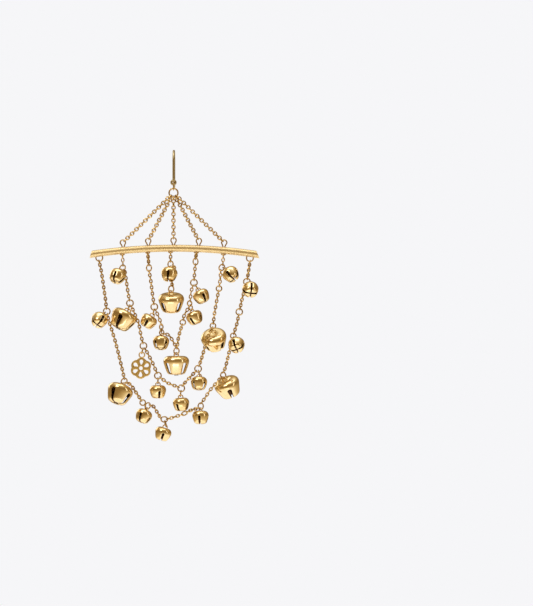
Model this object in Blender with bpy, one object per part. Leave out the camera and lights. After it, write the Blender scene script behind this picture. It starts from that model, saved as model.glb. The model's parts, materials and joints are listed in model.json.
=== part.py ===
"""Chandelier earring in gold-plated brass, hung from a French ear hook.

Five chains carry an arched bar. Three swags of cable chain and one centre strand hang under the bar,
and they carry sixteen small and six large cross-cut jingle bells and one pierced rosette.
Units are metres, +Z is up, the wearer's front is -Y. The origin is the inner side of the hook's crown.
"""

from collections import namedtuple
from math import asin, atan2, cos, pi, radians, sin, tan

import bmesh
import bpy
from mathutils import Matrix, Vector

# Clearance between metal pieces that hang in each other, and the wider one that a chain's end keeps.
LINK_GAP = 0.00012
END_GAP = 0.0002
SOLDER = 0.00006
SMALLEST_EDGE = 0.00001

# Ear hook, bent from one wire, with a round eye at the foot of its front leg.
HOOK_WIRE = 0.00085
HOOK_BEND_RADIUS = 0.0042
HOOK_EYE_DROP = 0.0119
HOOK_EYE_RADIUS = 0.00078
HOOK_BACK_LEG = 0.0085
HOOK_TIP_LENGTH = 0.0026
HOOK_TIP_KICK = radians(18)
HOOK_SIDES = 8

# Link and ring between the hook and the five chains.
HOOK_LINK_LENGTH = 0.0029
HOOK_LINK_WIDTH = 0.00155
HOOK_LINK_WIRE = 0.0004
TOP_RING_RADIUS = 0.0017
TOP_RING_WIRE = 0.0006
TOP_RING_SIDES = 14

# Spacing of the five eyes on the bar, which the bar's reach and the swags' widths follow.
EYE_SPACING = 0.00962

# Arched bar, measured along the middle of its thickness.
BAR_DROP = 0.0213
BAR_LEFT_REACH = 3.337 * EYE_SPACING
BAR_RIGHT_REACH = 3.42 * EYE_SPACING
BAR_THICKNESS = 0.0027
BAR_ARC_RADIUS = 0.217
BAR_END_SLANT = radians(16)
BAR_STEPS = 12
BAR_SIDES = 12
BAR_SETBACK = 0.0004

# Eyes on top of the bar, lugs under it and an open ring at each end.
EYE_RADIUS = 0.00101
EYE_WIRE = 0.0005
EYE_NECK = 0.0017
EYE_START = radians(-50)
EYE_SWEEP = radians(280)
EYE_FOOT_SHARE = 0.6
LUG_WIRE = 0.0005
LUG_WIDTH = 0.0016
LUG_HEIGHT = 0.0006
LUG_FLAT_SHARE = 0.6
END_RING_INSET = 0.0035
END_RING_RADIUS = 0.0013
END_RING_WIRE = 0.0005
END_RING_DROP = 0.0018

# Cable chain, as the round envelope of its links.
CHAIN_WIDTH = 0.0016
CHAIN_STEP = 3.0
CHAIN_TOP_SHARE = 0.5
CHAIN_TOP_STAGGER = 0.00055
CHAIN_SEAT = 0.00014

# Drops of the four strands below the middle of the bar. The inner ones follow the outer swag.
OUTER_DROP = 0.0659
MIDDLE_DROP = 0.821 * OUTER_DROP
INNER_DROP = 0.61 * OUTER_DROP
CENTRE_DROP = 0.258 * OUTER_DROP

# Rings along the strands, and the jump rings that some bells hang on.
STATION_RADIUS = 0.00127
SMALL_STATION_RADIUS = 0.00105
STATION_WIRE = 0.00052
JUMP_RADIUS = 0.00115
JUMP_WIRE = 0.00048
RING_SIDES = 10
WIRE_SIDES = 5

# Bells: body, wall, slot at its top, and the half ring soldered on the dome.
BellSize = namedtuple("BellSize", "width height wall slot bail_width bail_height bail_wire rows slot_row")
SMALL_BELL = BellSize(
    width=0.0063, height=0.0051, wall=0.00035, slot=0.00085,
    bail_width=0.0017, bail_height=0.00112, bail_wire=0.00045,
    rows=((0.48, 0.0), (0.87, 0.12), (1.0, 0.36), (0.76, 0.86), (0.18, 1.0)), slot_row=2,
)
LARGE_BELL = BellSize(
    width=0.0099, height=0.0073, wall=0.00042, slot=0.0016,
    bail_width=0.0026, bail_height=0.0012, bail_wire=0.0005,
    rows=((0.48, 0.0), (0.87, 0.11), (1.0, 0.30), (0.88, 0.62), (0.62, 0.95), (0.16, 1.0)), slot_row=2,
)
PETALS = 4
PETAL_COLUMNS = 3
INNER_COLUMNS = 2
SLOT_FOOT = 0.35
WIDEST_SLOT = 0.65
BAIL_BEND_SHARE = 0.6

# Pierced rosette that hangs on the middle swag.
ROSETTE_RADIUS = 0.0041
ROSETTE_THICKNESS = 0.0009
ROSETTE_LOBES = 6
ROSETTE_LOBE_DEPTH = 0.12
ROSETTE_HOLE_RADIUS = 0.0007
ROSETTE_HOLE_PLACE = 0.0026
ROSETTE_RING_RADIUS = 0.00105
ROSETTE_RING_WIRE = 0.0005

# Strand ends on the bar, in eye spacings from its middle. The outer swag hangs on the end rings.
LUG_PLACES = {"middle": (-2.06, 2.01), "inner": (-1.04, 0.92), "centre": (-0.12,)}

# Routes of the strands. Along is the share of the strand's half span, fall the share of its drop and
# depth the distance behind the bar's plane in chain widths. A row with a name is a ring, turned by slant
# about its long way, which lies at the angle lie in the front view. A row without one only guides the chain.
Stop = namedtuple("Stop", "name along fall depth radius lie slant")


def ring_stop(name, along, fall, depth=0.0, radius=STATION_RADIUS, lie=90, slant=0):
    return Stop(name, along, fall, depth, radius, lie, slant)


def guide(along, fall, depth=0.0):
    return Stop("", along, fall, depth, 0.0, 0, 0)


ROUTES = {
    "outer": (
        guide(-0.971, 0.142), guide(-0.922, 0.285),
        ring_stop("o1", -0.901, 0.369),
        guide(-0.869, 0.429), guide(-0.786, 0.547), guide(-0.707, 0.685),
        ring_stop("o2", -0.670, 0.778, lie=60, slant=35),
        guide(-0.581, 0.799), guide(-0.515, 0.841),
        ring_stop("o3", -0.424, 0.902, radius=SMALL_STATION_RADIUS),
        ring_stop("o3_lower", -0.358, 0.922, 0.5, lie=72, slant=42),
        guide(-0.290, 0.922, 1.0), guide(-0.235, 0.958, 1.0),
        ring_stop("o4", -0.137, 1.0, lie=0, slant=35),
        guide(0.0, 0.986), guide(0.132, 0.965), guide(0.226, 0.945),
        ring_stop("o6", 0.347, 0.923, lie=90, slant=40),
        guide(0.410, 0.872, -0.2), guide(0.466, 0.833, -0.6), guide(0.575, 0.776, -1.3),
        ring_stop("o7", 0.645, 0.743, lie=100, slant=40),
        guide(0.678, 0.692), guide(0.728, 0.600, 0.9),
        ring_stop("o8", 0.779, 0.512, radius=SMALL_STATION_RADIUS),
        guide(0.831, 0.435), guide(0.859, 0.372), guide(0.898, 0.293, 0.6),
        ring_stop("o10", 0.960, 0.196),
    ),
    "middle": (
        ring_stop("m1", -0.994, 0.141, 0.5, lie=60, slant=40),
        guide(-0.948, 0.168, 1.3), guide(-0.890, 0.302, 0.3),
        ring_stop("m2", -0.845, 0.391),
        guide(-0.754, 0.466, 0.5), guide(-0.676, 0.536, 0.4), guide(-0.637, 0.605),
        ring_stop("m3", -0.580, 0.695),
        guide(-0.507, 0.742), guide(-0.399, 0.817),
        ring_stop("m4", -0.295, 0.907),
        guide(-0.102, 0.959),
        ring_stop("m5", 0.163, 0.997),
        guide(0.214, 0.966), guide(0.361, 0.909),
        ring_stop("m6", 0.495, 0.858),
        guide(0.580, 0.767, -1.0), guide(0.684, 0.637, -1.6),
        ring_stop("m7", 0.788, 0.552, -0.6, SMALL_STATION_RADIUS),
        guide(0.827, 0.443), guide(0.906, 0.287), guide(0.930, 0.222),
        ring_stop("m9", 0.961, 0.137, lie=60, slant=40),
    ),
    "inner": (
        guide(-0.943, 0.189), guide(-0.869, 0.313), guide(-0.803, 0.434),
        ring_stop("i2", -0.725, 0.562),
        guide(-0.530, 0.670),
        ring_stop("i3", -0.439, 0.754, radius=SMALL_STATION_RADIUS, lie=90, slant=-50),
        ring_stop("i3_lower", -0.422, 0.809, radius=SMALL_STATION_RADIUS, lie=90, slant=40),
        guide(-0.130, 0.835, 0.6), guide(0.030, 0.890, 0.6),
        ring_stop("i4", 0.180, 0.985, lie=90, slant=40),
        guide(0.266, 0.850, 0.5), guide(0.439, 0.710), guide(0.500, 0.640, 0.6),
        ring_stop("i6", 0.717, 0.529, radius=SMALL_STATION_RADIUS, lie=90, slant=40),
        guide(0.760, 0.440, 0.7), guide(0.800, 0.395, 0.5),
        ring_stop("i7", 0.893, 0.330),
        guide(0.922, 0.229), guide(0.959, 0.128),
    ),
    "centre": (
        ring_stop("c1", 0.0, 0.362, lie=90, slant=40),
        guide(0.30, 0.420, 1.0), guide(0.20, 0.600, 1.8), guide(0.10, 0.790, 1.2),
        ring_stop("c2", 0.05, 0.926, lie=90, slant=40),
    ),
}

# Bells. Each hangs on a ring of a strand, either by its bail or on a jump ring. Lean is how far the
# hanging direction swings right, and out how far it comes forward. Tilt is how far the bell's top swings
# right, nod how far it comes forward, and turn the angle of the slots from the front.
Bell = namedtuple("Bell", "strand ring jump lean out tilt nod turn")
SMALL_BELLS = (
    Bell("middle", "m1", False, -60, 30, 27, -30, -25),
    Bell("centre", "c1", False, -4, 40, 8, -24, -8),
    Bell("middle", "m9", True, 73, 44, -36, -37, -12),
    Bell("outer", "o10", True, 40, 67, -8, -60, 16),
    Bell("outer", "o1", True, -59, 52, 21, -46, 20),
    Bell("inner", "i2", True, -8, 10, 32, 0, -8),
    Bell("inner", "i3_lower", False, -25, 30, 2, -18, 45),
    Bell("inner", "i7", True, 32, 20, -27, -8, 20),
    Bell("inner", "i6", True, 20, 20, -22, -5, -30),
    Bell("outer", "o8", True, 40, 55, -4, -52, -20),
    Bell("middle", "m4", True, 0, 0, 0, 0, 14),
    Bell("middle", "m5", True, -6, 5, -4, 0, -30),
    Bell("middle", "m6", True, 14, 52, 2, -12, 48),
    Bell("outer", "o3_lower", False, -25, 30, 22, -14, -25),
    Bell("outer", "o4", True, 12, 24, 18, -2, 5),
    Bell("outer", "o6", False, -10, 30, 0, -8, -8),
)
LARGE_BELLS = (
    Bell("middle", "m2", True, -15, 35, 28, -10, -15),
    Bell("middle", "m7", True, -10, -46, -12, 36, 40),
    Bell("outer", "o7", False, 15, 35, -24, 20, 0),
    Bell("outer", "o2", False, -25, 35, 20, -18, 55),
    Bell("centre", "c2", False, 0, 10, 0, 14, 45),
    Bell("inner", "i4", False, -10, 10, 0, 0, 45),
)
ROSETTE = Bell("middle", "m3", True, -12, 15, 4, 0, 0)

FORWARD = Vector((0, -1, 0))
RIGHT = Vector((1, 0, 0))
UP = Vector((0, 0, 1))

# Colours of the plating, its roughness, and how metallic it is.
HOOK_GOLD = (0.62, 0.50, 0.26), 0.25
SATIN_GOLD = (0.78, 0.57, 0.24), 0.35
CHAIN_GOLD = (0.70, 0.48, 0.18), 0.30
BELL_GOLD = (0.75, 0.50, 0.17), 0.22


def clear_scene():
    """Empties the scene."""
    for obj in list(bpy.data.objects):
        bpy.data.objects.remove(obj)


def metal(name, finish):
    """A metallic material of one colour and roughness."""
    colour, roughness = finish
    material = bpy.data.materials.new(name)
    material.use_nodes = True
    shader = material.node_tree.nodes["Principled BSDF"]
    shader.inputs["Base Color"].default_value = (*colour, 1)
    shader.inputs["Metallic"].default_value = 1
    shader.inputs["Roughness"].default_value = roughness
    return material


def add_object(name, mesh, finish, parent=None):
    """Links a mesh into the scene as the node of this name, shaded smooth."""
    mesh.name = name
    mesh.materials.clear()
    mesh.materials.append(metal(name + "_finish", finish))
    mesh.shade_smooth()
    mesh.set_sharp_from_angle(angle=radians(40))
    obj = bpy.data.objects.new(name, mesh)
    bpy.context.scene.collection.objects.link(obj)
    if parent:
        obj.parent = parent
        obj.matrix_parent_inverse = parent.matrix_world.inverted()
    return obj


def mesh_of(bm):
    """The mesh of a bmesh, with its faces turned outwards."""
    bmesh.ops.recalc_face_normals(bm, faces=bm.faces)
    mesh = bpy.data.meshes.new("shape")
    bm.to_mesh(mesh)
    bm.free()
    return mesh


def sweep(points, radius, sides=WIRE_SIDES, closed=False, across=None):
    """A round wire along points, with flat ends unless it is closed. Across is a direction off the path."""
    bm = bmesh.new()
    count = len(points)
    rings = []
    for i, point in enumerate(points):
        if closed:
            ahead, behind = points[(i + 1) % count], points[i - 1]
        else:
            ahead, behind = points[min(i + 1, count - 1)], points[max(i - 1, 0)]
        along = (ahead - behind).normalized()
        side = across - along * across.dot(along)
        side.normalize()
        third = along.cross(side)
        stretch = 1.0
        if closed or 0 < i < count - 1:
            bend = (ahead - point).normalized().dot((point - behind).normalized())
            stretch = 1 / max(0.5, ((1 + bend) / 2) ** 0.5)
        turns = [2 * pi * k / sides for k in range(sides)]
        rings.append([
            bm.verts.new(point + side * radius * cos(a) + third * radius * stretch * sin(a)) for a in turns
        ])
    for i in range(count if closed else count - 1):
        low, high = rings[i], rings[(i + 1) % count]
        for k in range(sides):
            j = (k + 1) % sides
            bm.faces.new((low[k], low[j], high[j], high[k]))
    if not closed:
        bm.faces.new(rings[0])
        bm.faces.new(rings[-1])
    return mesh_of(bm)


def ring(centre, normal, radius, wire, start=None, sides=RING_SIDES):
    """A round ring of wire. Its radius runs to the middle of the wire, and a corner lies towards start."""
    first = (start or normal.orthogonal()) - normal * (start or normal.orthogonal()).dot(normal)
    first.normalize()
    second = normal.cross(first)
    turns = [2 * pi * k / sides for k in range(sides)]
    points = [centre + (first * cos(a) + second * sin(a)) * radius for a in turns]
    return sweep(points, wire / 2, closed=True, across=normal)


def tube(points, width, start_share=1.0):
    """A round tube along a smooth curve through points, with a point every few widths."""
    dense = smooth_route(points)
    lengths = [0.0]
    for a, b in zip(dense, dense[1:]):
        lengths.append(lengths[-1] + (b - a).length)
    steps = max(1, round(lengths[-1] / (CHAIN_STEP * width)))
    read = [point_at(dense, lengths, lengths[-1] * i / steps) for i in range(steps + 1)]
    curve = bpy.data.curves.new("tube", "CURVE")
    curve.dimensions = "3D"
    curve.bevel_depth = width / 2
    curve.bevel_resolution = 2
    curve.use_fill_caps = True
    spline = curve.splines.new("POLY")
    spline.points.add(steps)
    for place, point in zip(spline.points, read):
        place.co = (*point, 1)
    spline.points[0].radius = start_share
    return curve


def smooth_route(points, fine=12):
    """Points close together on a smooth curve through the given ones."""
    if len(points) == 2:
        return list(points)
    ends = [points[0] * 2 - points[1], *points, points[-1] * 2 - points[-2]]
    dense = []
    for a, b, c, d in zip(ends, ends[1:], ends[2:], ends[3:]):
        for k in range(fine):
            t = k / fine
            dense.append(
                ((b * 2) + (c - a) * t + (a * 2 - b * 5 + c * 4 - d) * t**2 + (b * 3 - a - c * 3 + d) * t**3) / 2
            )
    dense.append(points[-1].copy())
    return dense


def point_at(dense, lengths, reach):
    """The point at this length along a dense route."""
    for a, b, low, high in zip(dense, dense[1:], lengths, lengths[1:]):
        if reach <= high:
            return a.lerp(b, (reach - low) / (high - low))
    return dense[-1].copy()


def mesh_of_curve(curve):
    """The closed mesh of a bevelled curve."""
    helper = bpy.data.objects.new("helper", curve)
    bpy.context.scene.collection.objects.link(helper)
    graph = bpy.context.evaluated_depsgraph_get()
    mesh = bpy.data.meshes.new_from_object(helper.evaluated_get(graph))
    bpy.data.objects.remove(helper)
    bm = bmesh.new()
    bm.from_mesh(mesh)
    bmesh.ops.remove_doubles(bm, verts=bm.verts, dist=SMALLEST_EDGE / 100)
    return mesh_of(bm)


def fused(meshes, operation="UNION"):
    """One closed mesh from several that overlap, or the first less the others."""
    scene = bpy.context.scene.collection
    base = bpy.data.objects.new("base", meshes[0])
    scene.objects.link(base)
    others = bpy.data.collections.new("others")
    scene.children.link(others)
    for mesh in meshes[1:]:
        others.objects.link(bpy.data.objects.new("other", mesh))
    boolean = base.modifiers.new("fuse", "BOOLEAN")
    boolean.operation = operation
    boolean.solver = "EXACT"
    boolean.operand_type = "COLLECTION"
    boolean.collection = others
    graph = bpy.context.evaluated_depsgraph_get()
    mesh = bpy.data.meshes.new_from_object(base.evaluated_get(graph))
    for obj in list(others.objects):
        bpy.data.objects.remove(obj)
    bpy.data.collections.remove(others)
    bpy.data.objects.remove(base)
    bm = bmesh.new()
    bm.from_mesh(mesh)
    bmesh.ops.remove_doubles(bm, verts=bm.verts, dist=SMALLEST_EDGE)
    bmesh.ops.dissolve_degenerate(bm, edges=bm.edges, dist=SMALLEST_EDGE / 10)
    return mesh_of(bm)


def towards(lean, forward):
    """A direction from straight down, swung to the right by lean and forward by the second angle."""
    a, b = radians(lean), radians(forward)
    return Vector((sin(a) * cos(b), -sin(b), -cos(a) * cos(b)))


# Places that several pieces share.
HANG_Y = -HOOK_BEND_RADIUS
CROWN_Z = HOOK_WIRE / 2
EYE_CENTRE = Vector((0, HANG_Y, -HOOK_EYE_DROP))
SWING_AXIS = EYE_CENTRE - UP * HOOK_EYE_RADIUS
LINK_TOP = SWING_AXIS + UP * (HOOK_WIRE / 2 + HOOK_LINK_WIRE / 2 + LINK_GAP)
LINK_FOOT = LINK_TOP - UP * HOOK_LINK_LENGTH
TOP_RING_TOP = LINK_FOOT + UP * (HOOK_LINK_WIRE / 2 + TOP_RING_WIRE / 2 + LINK_GAP)
TOP_RING_CENTRE = TOP_RING_TOP - UP * TOP_RING_RADIUS
BAR_CROWN = TOP_RING_CENTRE + Vector((0, BAR_SETBACK, -BAR_DROP))


def bar_point(x, height=0.0):
    """The point of the bar's middle line at x, raised by height square to the arch."""
    slope = asin(x / BAR_ARC_RADIUS)
    radius = BAR_ARC_RADIUS + height
    return BAR_CROWN + Vector((radius * sin(slope), 0, radius * cos(slope) - BAR_ARC_RADIUS))


def strand_frame(strand):
    """The middle and half span of a strand, and its drop."""
    drop = {"outer": OUTER_DROP, "middle": MIDDLE_DROP, "inner": INNER_DROP, "centre": CENTRE_DROP}[strand]
    if strand == "outer":
        left, right = END_RING_INSET - BAR_LEFT_REACH, BAR_RIGHT_REACH - END_RING_INSET
    elif strand == "centre":
        middle = LUG_PLACES[strand][0] * EYE_SPACING
        left, right = middle - EYE_SPACING / 2, middle + EYE_SPACING / 2
    else:
        left, right = (place * EYE_SPACING for place in LUG_PLACES[strand])
    return (left + right) / 2, (right - left) / 2, drop


def stop_place(strand, stop):
    """Where a stop of a strand lies."""
    middle, half, drop = strand_frame(strand)
    return BAR_CROWN + Vector((middle + stop.along * half, stop.depth * CHAIN_WIDTH, -stop.fall * drop))


def stop_normal(stop):
    """The axis of a stop's ring, turned about its long way."""
    long_way = Vector((cos(radians(stop.lie)), 0, sin(radians(stop.lie))))
    return Matrix.Rotation(radians(stop.slant), 3, long_way) @ FORWARD


def rim_direction(normal, heading):
    """The direction in a ring's plane that comes closest to a heading."""
    flat = heading - normal * heading.dot(normal)
    return flat.normalized()


def build_hook():
    """The ear hook: its eye, front leg, round bend, back leg and kicked tip, as one bent wire."""
    bend_z = CROWN_Z - HOOK_BEND_RADIUS
    points = [EYE_CENTRE + UP * HOOK_EYE_RADIUS, Vector((0, HANG_Y, bend_z))]
    for k in range(1, 8):
        a = pi - pi * k / 8
        points.append(Vector((0, HOOK_BEND_RADIUS * cos(a), bend_z + HOOK_BEND_RADIUS * sin(a))))
    foot = Vector((0, HOOK_BEND_RADIUS, CROWN_Z - HOOK_BEND_RADIUS - HOOK_BACK_LEG))
    points.append(Vector((0, HOOK_BEND_RADIUS, bend_z)))
    points.append(foot)
    points.append(foot + HOOK_TIP_LENGTH * Vector((0, sin(HOOK_TIP_KICK), -cos(HOOK_TIP_KICK))))
    wire = sweep(points, HOOK_WIRE / 2, sides=HOOK_SIDES, across=RIGHT)
    eye = ring(EYE_CENTRE, FORWARD, HOOK_EYE_RADIUS, HOOK_WIRE, start=-UP)
    add_object("ear_hook", fused([wire, eye]), HOOK_GOLD)


def build_hook_link(drop):
    """The upright oval link that hangs in the hook's eye."""
    bend = HOOK_LINK_WIDTH / 2
    high, low = LINK_TOP - UP * bend, LINK_FOOT + UP * bend
    back = -FORWARD
    points = []
    for k in range(5):
        a = pi * k / 4
        points.append(high + back * bend * cos(a) + UP * bend * sin(a))
    for k in range(5):
        a = pi + pi * k / 4
        points.append(low + back * bend * cos(a) + UP * bend * sin(a))
    mesh = sweep(points, HOOK_LINK_WIRE / 2, closed=True, across=RIGHT)
    add_object("hook_link", mesh, CHAIN_GOLD, drop)


def build_top_ring(drop):
    """The ring that gathers the five chains."""
    mesh = ring(TOP_RING_CENTRE, FORWARD, TOP_RING_RADIUS, TOP_RING_WIRE, start=UP, sides=TOP_RING_SIDES)
    add_object("top_ring", mesh, CHAIN_GOLD, drop)


def eye_place(index):
    """The middle of an eye on the bar, counted from the bar's middle."""
    return bar_point(index * EYE_SPACING, BAR_THICKNESS / 2 + EYE_NECK)


def build_upper_chains(drop):
    """The five chains that spread from the top ring to the bar's eyes."""
    for index in range(-2, 3):
        eye = eye_place(index)
        pull = (eye - TOP_RING_CENTRE).normalized()
        stagger = CHAIN_TOP_STAGGER * (FORWARD if index % 2 == 0 else -FORWARD)
        first = TOP_RING_CENTRE + pull * (TOP_RING_RADIUS + TOP_RING_WIRE / 2 + END_GAP) + stagger
        last = eye - pull * (EYE_RADIUS + EYE_WIRE / 2 + END_GAP)
        mesh = mesh_of_curve(tube([first, last], CHAIN_WIDTH, CHAIN_TOP_SHARE))
        add_object(f"upper_chain_{index + 3}", mesh, CHAIN_GOLD, drop)


def bar_body():
    """The bar's round stock, arched, with slanted ends."""
    bm = bmesh.new()
    sections = []
    for k in range(BAR_STEPS + 1):
        x = -BAR_LEFT_REACH + (BAR_LEFT_REACH + BAR_RIGHT_REACH) * k / BAR_STEPS
        slope = asin(x / BAR_ARC_RADIUS)
        along = Vector((cos(slope), 0, -sin(slope)))
        shear = {0: tan(BAR_END_SLANT), BAR_STEPS: -tan(BAR_END_SLANT)}.get(k, 0)
        section = []
        for j in range(BAR_SIDES):
            a = 2 * pi * (j + 0.5) / BAR_SIDES
            height = BAR_THICKNESS / 2 * cos(a)
            point = bar_point(x, height) + Vector((0, BAR_THICKNESS / 2 * sin(a), 0))
            section.append(bm.verts.new(point + along * shear * height))
        sections.append(section)
    for low, high in zip(sections, sections[1:]):
        for j in range(BAR_SIDES):
            i = (j + 1) % BAR_SIDES
            bm.faces.new((low[j], low[i], high[i], high[j]))
    bm.faces.new(sections[0])
    bm.faces.new(sections[-1])
    return mesh_of(bm)


def eye_mesh(index):
    """One teardrop eye: a loop of wire whose two ends go down into the bar."""
    x = index * EYE_SPACING
    centre = eye_place(index)
    out = (centre - bar_point(x)).normalized()
    side = Vector((out.z, 0, -out.x))
    foot = bar_point(x, BAR_THICKNESS / 2 - EYE_WIRE / 2)
    spread = EYE_WIRE * EYE_FOOT_SHARE
    points = [foot + side * spread]
    for k in range(7):
        a = EYE_START + EYE_SWEEP * k / 6
        points.append(centre + (side * cos(a) + out * sin(a)) * EYE_RADIUS)
    points.append(foot - side * spread)
    return sweep(points, EYE_WIRE / 2, across=FORWARD)


def lug_mesh(x):
    """One low half loop under the bar."""
    half, top = LUG_WIDTH / 2, -BAR_THICKNESS / 2 + LUG_WIRE / 2
    low = -BAR_THICKNESS / 2 - LUG_HEIGHT + LUG_WIRE / 2
    places = ((-half, top), (-half * LUG_FLAT_SHARE, low), (half * LUG_FLAT_SHARE, low), (half, top))
    points = [bar_point(x + along, height) for along, height in places]
    return sweep(points, LUG_WIRE / 2, across=FORWARD)


def end_ring_centre(side):
    """The middle of the open ring at one end of the bar; side is -1 on the left and 1 on the right."""
    reach = BAR_LEFT_REACH if side < 0 else BAR_RIGHT_REACH
    return bar_point(side * (reach - END_RING_INSET)) - UP * END_RING_DROP


def build_bar(drop):
    """The arched bar with its eyes, lugs and end rings soldered on."""
    meshes = [bar_body()]
    meshes += [eye_mesh(index) for index in range(-2, 3)]
    for places in LUG_PLACES.values():
        meshes += [lug_mesh(place * EYE_SPACING) for place in places]
    for side in (-1, 1):
        meshes.append(ring(end_ring_centre(side), FORWARD, END_RING_RADIUS, END_RING_WIRE, start=-UP))
    add_object("arched_bar", fused(meshes), SATIN_GOLD, drop)


def strand_start(strand, end):
    """Where a strand's chain begins, just under its lug or end ring. End is 0 on the left, 1 on the right."""
    if strand == "outer":
        return end_ring_centre(2 * end - 1) - UP * (END_RING_RADIUS + END_RING_WIRE / 2 + END_GAP)
    x = LUG_PLACES[strand][end] * EYE_SPACING
    return bar_point(x, -BAR_THICKNESS / 2 - LUG_HEIGHT - END_GAP)


def strand_runs(strand):
    """The chain runs of a strand, each as the points that it passes."""
    route = ROUTES[strand]
    runs, run = [], [strand_start(strand, 0)]
    for i, stop in enumerate(route):
        place = stop_place(strand, stop)
        if not stop.name:
            run.append(place)
            continue
        normal = stop_normal(stop)
        run.append(place + rim_direction(normal, run[-1] - place) * (stop.radius + CHAIN_SEAT))
        runs.append(run)
        if i + 1 == len(route):
            ahead = strand_start(strand, 1) if strand != "centre" else None
        else:
            ahead = stop_place(strand, route[i + 1])
        if ahead:
            run = [place + rim_direction(normal, ahead - place) * (stop.radius + CHAIN_SEAT)]
        else:
            run = None
    if run:
        runs.append(run + [strand_start(strand, 1)])
    return runs


def hanging(bell, bail_wire):
    """How a bell hangs: its jump ring's mesh or None, the middle of its bail's top wire and that wire's way."""
    stop = next(stop for stop in ROUTES[bell.strand] if stop.name == bell.ring)
    place, normal = stop_place(bell.strand, stop), stop_normal(stop)
    down = towards(bell.lean, 0)
    rim = rim_direction(normal, down)
    if not bell.jump:
        top = place + rim * (stop.radius - STATION_WIRE / 2 - bail_wire / 2 - LINK_GAP)
        return None, top, normal
    pull = towards(bell.lean, bell.out)
    held = place + rim * stop.radius
    centre = held + pull * (JUMP_RADIUS - STATION_WIRE / 2 - JUMP_WIRE / 2 + SOLDER)
    top = centre + pull * (JUMP_RADIUS - JUMP_WIRE / 2 - bail_wire / 2 - LINK_GAP)
    tangent = normal.cross(rim)
    axis = (tangent - pull * tangent.dot(pull)).normalized()
    return ring(centre, axis, JUMP_RADIUS, JUMP_WIRE, start=-pull), top, axis


def build_strands(drop):
    """Each strand as one body: its chain runs, its rings and the jump rings that hang on them."""
    pendants = {strand: [] for strand in ROUTES}
    for bells, size in ((SMALL_BELLS, SMALL_BELL), (LARGE_BELLS, LARGE_BELL)):
        for bell in bells:
            pendants[bell.strand].append((bell, size.bail_wire))
    pendants[ROSETTE.strand].append((ROSETTE, ROSETTE_RING_WIRE))
    for strand, route in ROUTES.items():
        meshes = [mesh_of_curve(tube(run, CHAIN_WIDTH)) for run in strand_runs(strand)]
        for stop in route:
            if stop.name:
                meshes.append(ring(stop_place(strand, stop), stop_normal(stop), stop.radius, STATION_WIRE))
        for bell, bail_wire in pendants[strand]:
            jump = hanging(bell, bail_wire)[0]
            if jump:
                meshes.append(jump)
        add_object(f"{strand}_strand", fused(meshes), CHAIN_GOLD, drop)


def shell_rows(size, inset):
    """Radius and height of each row of a bell's wall, drawn in by inset, from the top down."""
    rows = []
    for radius, fall in size.rows:
        height = size.height / 2 - fall * size.height
        shrink = 1 - inset / (size.height / 2)
        rows.append((max(radius * size.width / 2 - inset, size.wall), height * shrink))
    return rows


def bell_shell(size):
    """A hollow bell body round the Z axis: a whole dome, and below it four petals bent in."""
    bm = bmesh.new()
    foot_row = len(size.rows) - 1
    quarter = 2 * pi / PETALS

    def surface(inset, columns):
        """One side of the wall: its closed rows, and for each petal its rows of points."""
        rows = shell_rows(size, inset)
        first_row = 0 if inset == 0 else 1
        dome = []
        for radius, height in rows[first_row:size.slot_row]:
            turns = [quarter * (k / columns - 0.5) for k in range(PETALS * columns)]
            dome.append([bm.verts.new((radius * cos(a), radius * sin(a), height)) for a in turns])
        petals = []
        for p in range(PETALS):
            petal = []
            for r in range(size.slot_row, len(rows)):
                radius, height = rows[r]
                share = (r - size.slot_row) / (foot_row - size.slot_row)
                slot = size.slot * (1 + (SLOT_FOOT - 1) * share)
                outer = size.rows[r][0] * size.width / 2
                half = quarter / 2 - asin(min(WIDEST_SLOT, slot / 2 / outer))
                turns = [quarter * p + half * (2 * k / columns - 1) for k in range(columns + 1)]
                petal.append([bm.verts.new((radius * cos(a), radius * sin(a), height)) for a in turns])
            petals.append(petal)
        bm.faces.new(dome[0])
        for low, high in zip(dome, dome[1:]):
            for k in range(PETALS * columns):
                j = (k + 1) % (PETALS * columns)
                bm.faces.new((low[k], low[j], high[j], high[k]))
        for p in range(PETALS):
            edge = dome[-1]
            for k in range(columns):
                i = p * columns + k
                j = (i + 1) % (PETALS * columns)
                bm.faces.new((edge[i], edge[j], petals[p][0][k + 1], petals[p][0][k]))
            bm.faces.new((edge[p * columns], petals[p][0][0], petals[p - 1][0][-1]))
            for low, high in zip(petals[p], petals[p][1:]):
                for k in range(columns):
                    bm.faces.new((low[k], low[k + 1], high[k + 1], high[k]))
        return petals

    outside = surface(0.0, PETAL_COLUMNS)
    inside = surface(size.wall, INNER_COLUMNS)
    for p in range(PETALS):
        out, inn = outside[p], inside[p]
        for end in (0, -1):
            for r in range(len(out) - 1):
                bm.faces.new((out[r][end], out[r + 1][end], inn[r + 1][end], inn[r][end]))
        bm.faces.new((out[0][0], inn[0][0], inside[p - 1][0][-1], outside[p - 1][0][-1]))
        bm.faces.new((*out[-1], *reversed(inn[-1])))
    bmesh.ops.triangulate(bm, faces=[face for face in bm.faces if len(face.verts) > 4])
    return bm


def bail_mesh(size):
    """The half ring soldered on a bell's dome, in the XZ plane."""
    half, top = size.bail_width / 2, size.height / 2 + size.bail_height
    bend = min(half, size.bail_height * BAIL_BEND_SHARE)
    foot = size.height / 2 - size.wall
    points = [Vector((half, 0, foot))]
    for k in range(3):
        a = pi / 2 * k / 2
        points.append(Vector((half - bend + bend * cos(a), 0, top - bend + bend * sin(a))))
    points += [Vector((-point.x, 0, point.z)) for point in reversed(points)]
    if half == bend:
        points.pop(len(points) // 2)
    return sweep(points, size.bail_wire / 2, across=Vector((0, 1, 0)))


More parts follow.
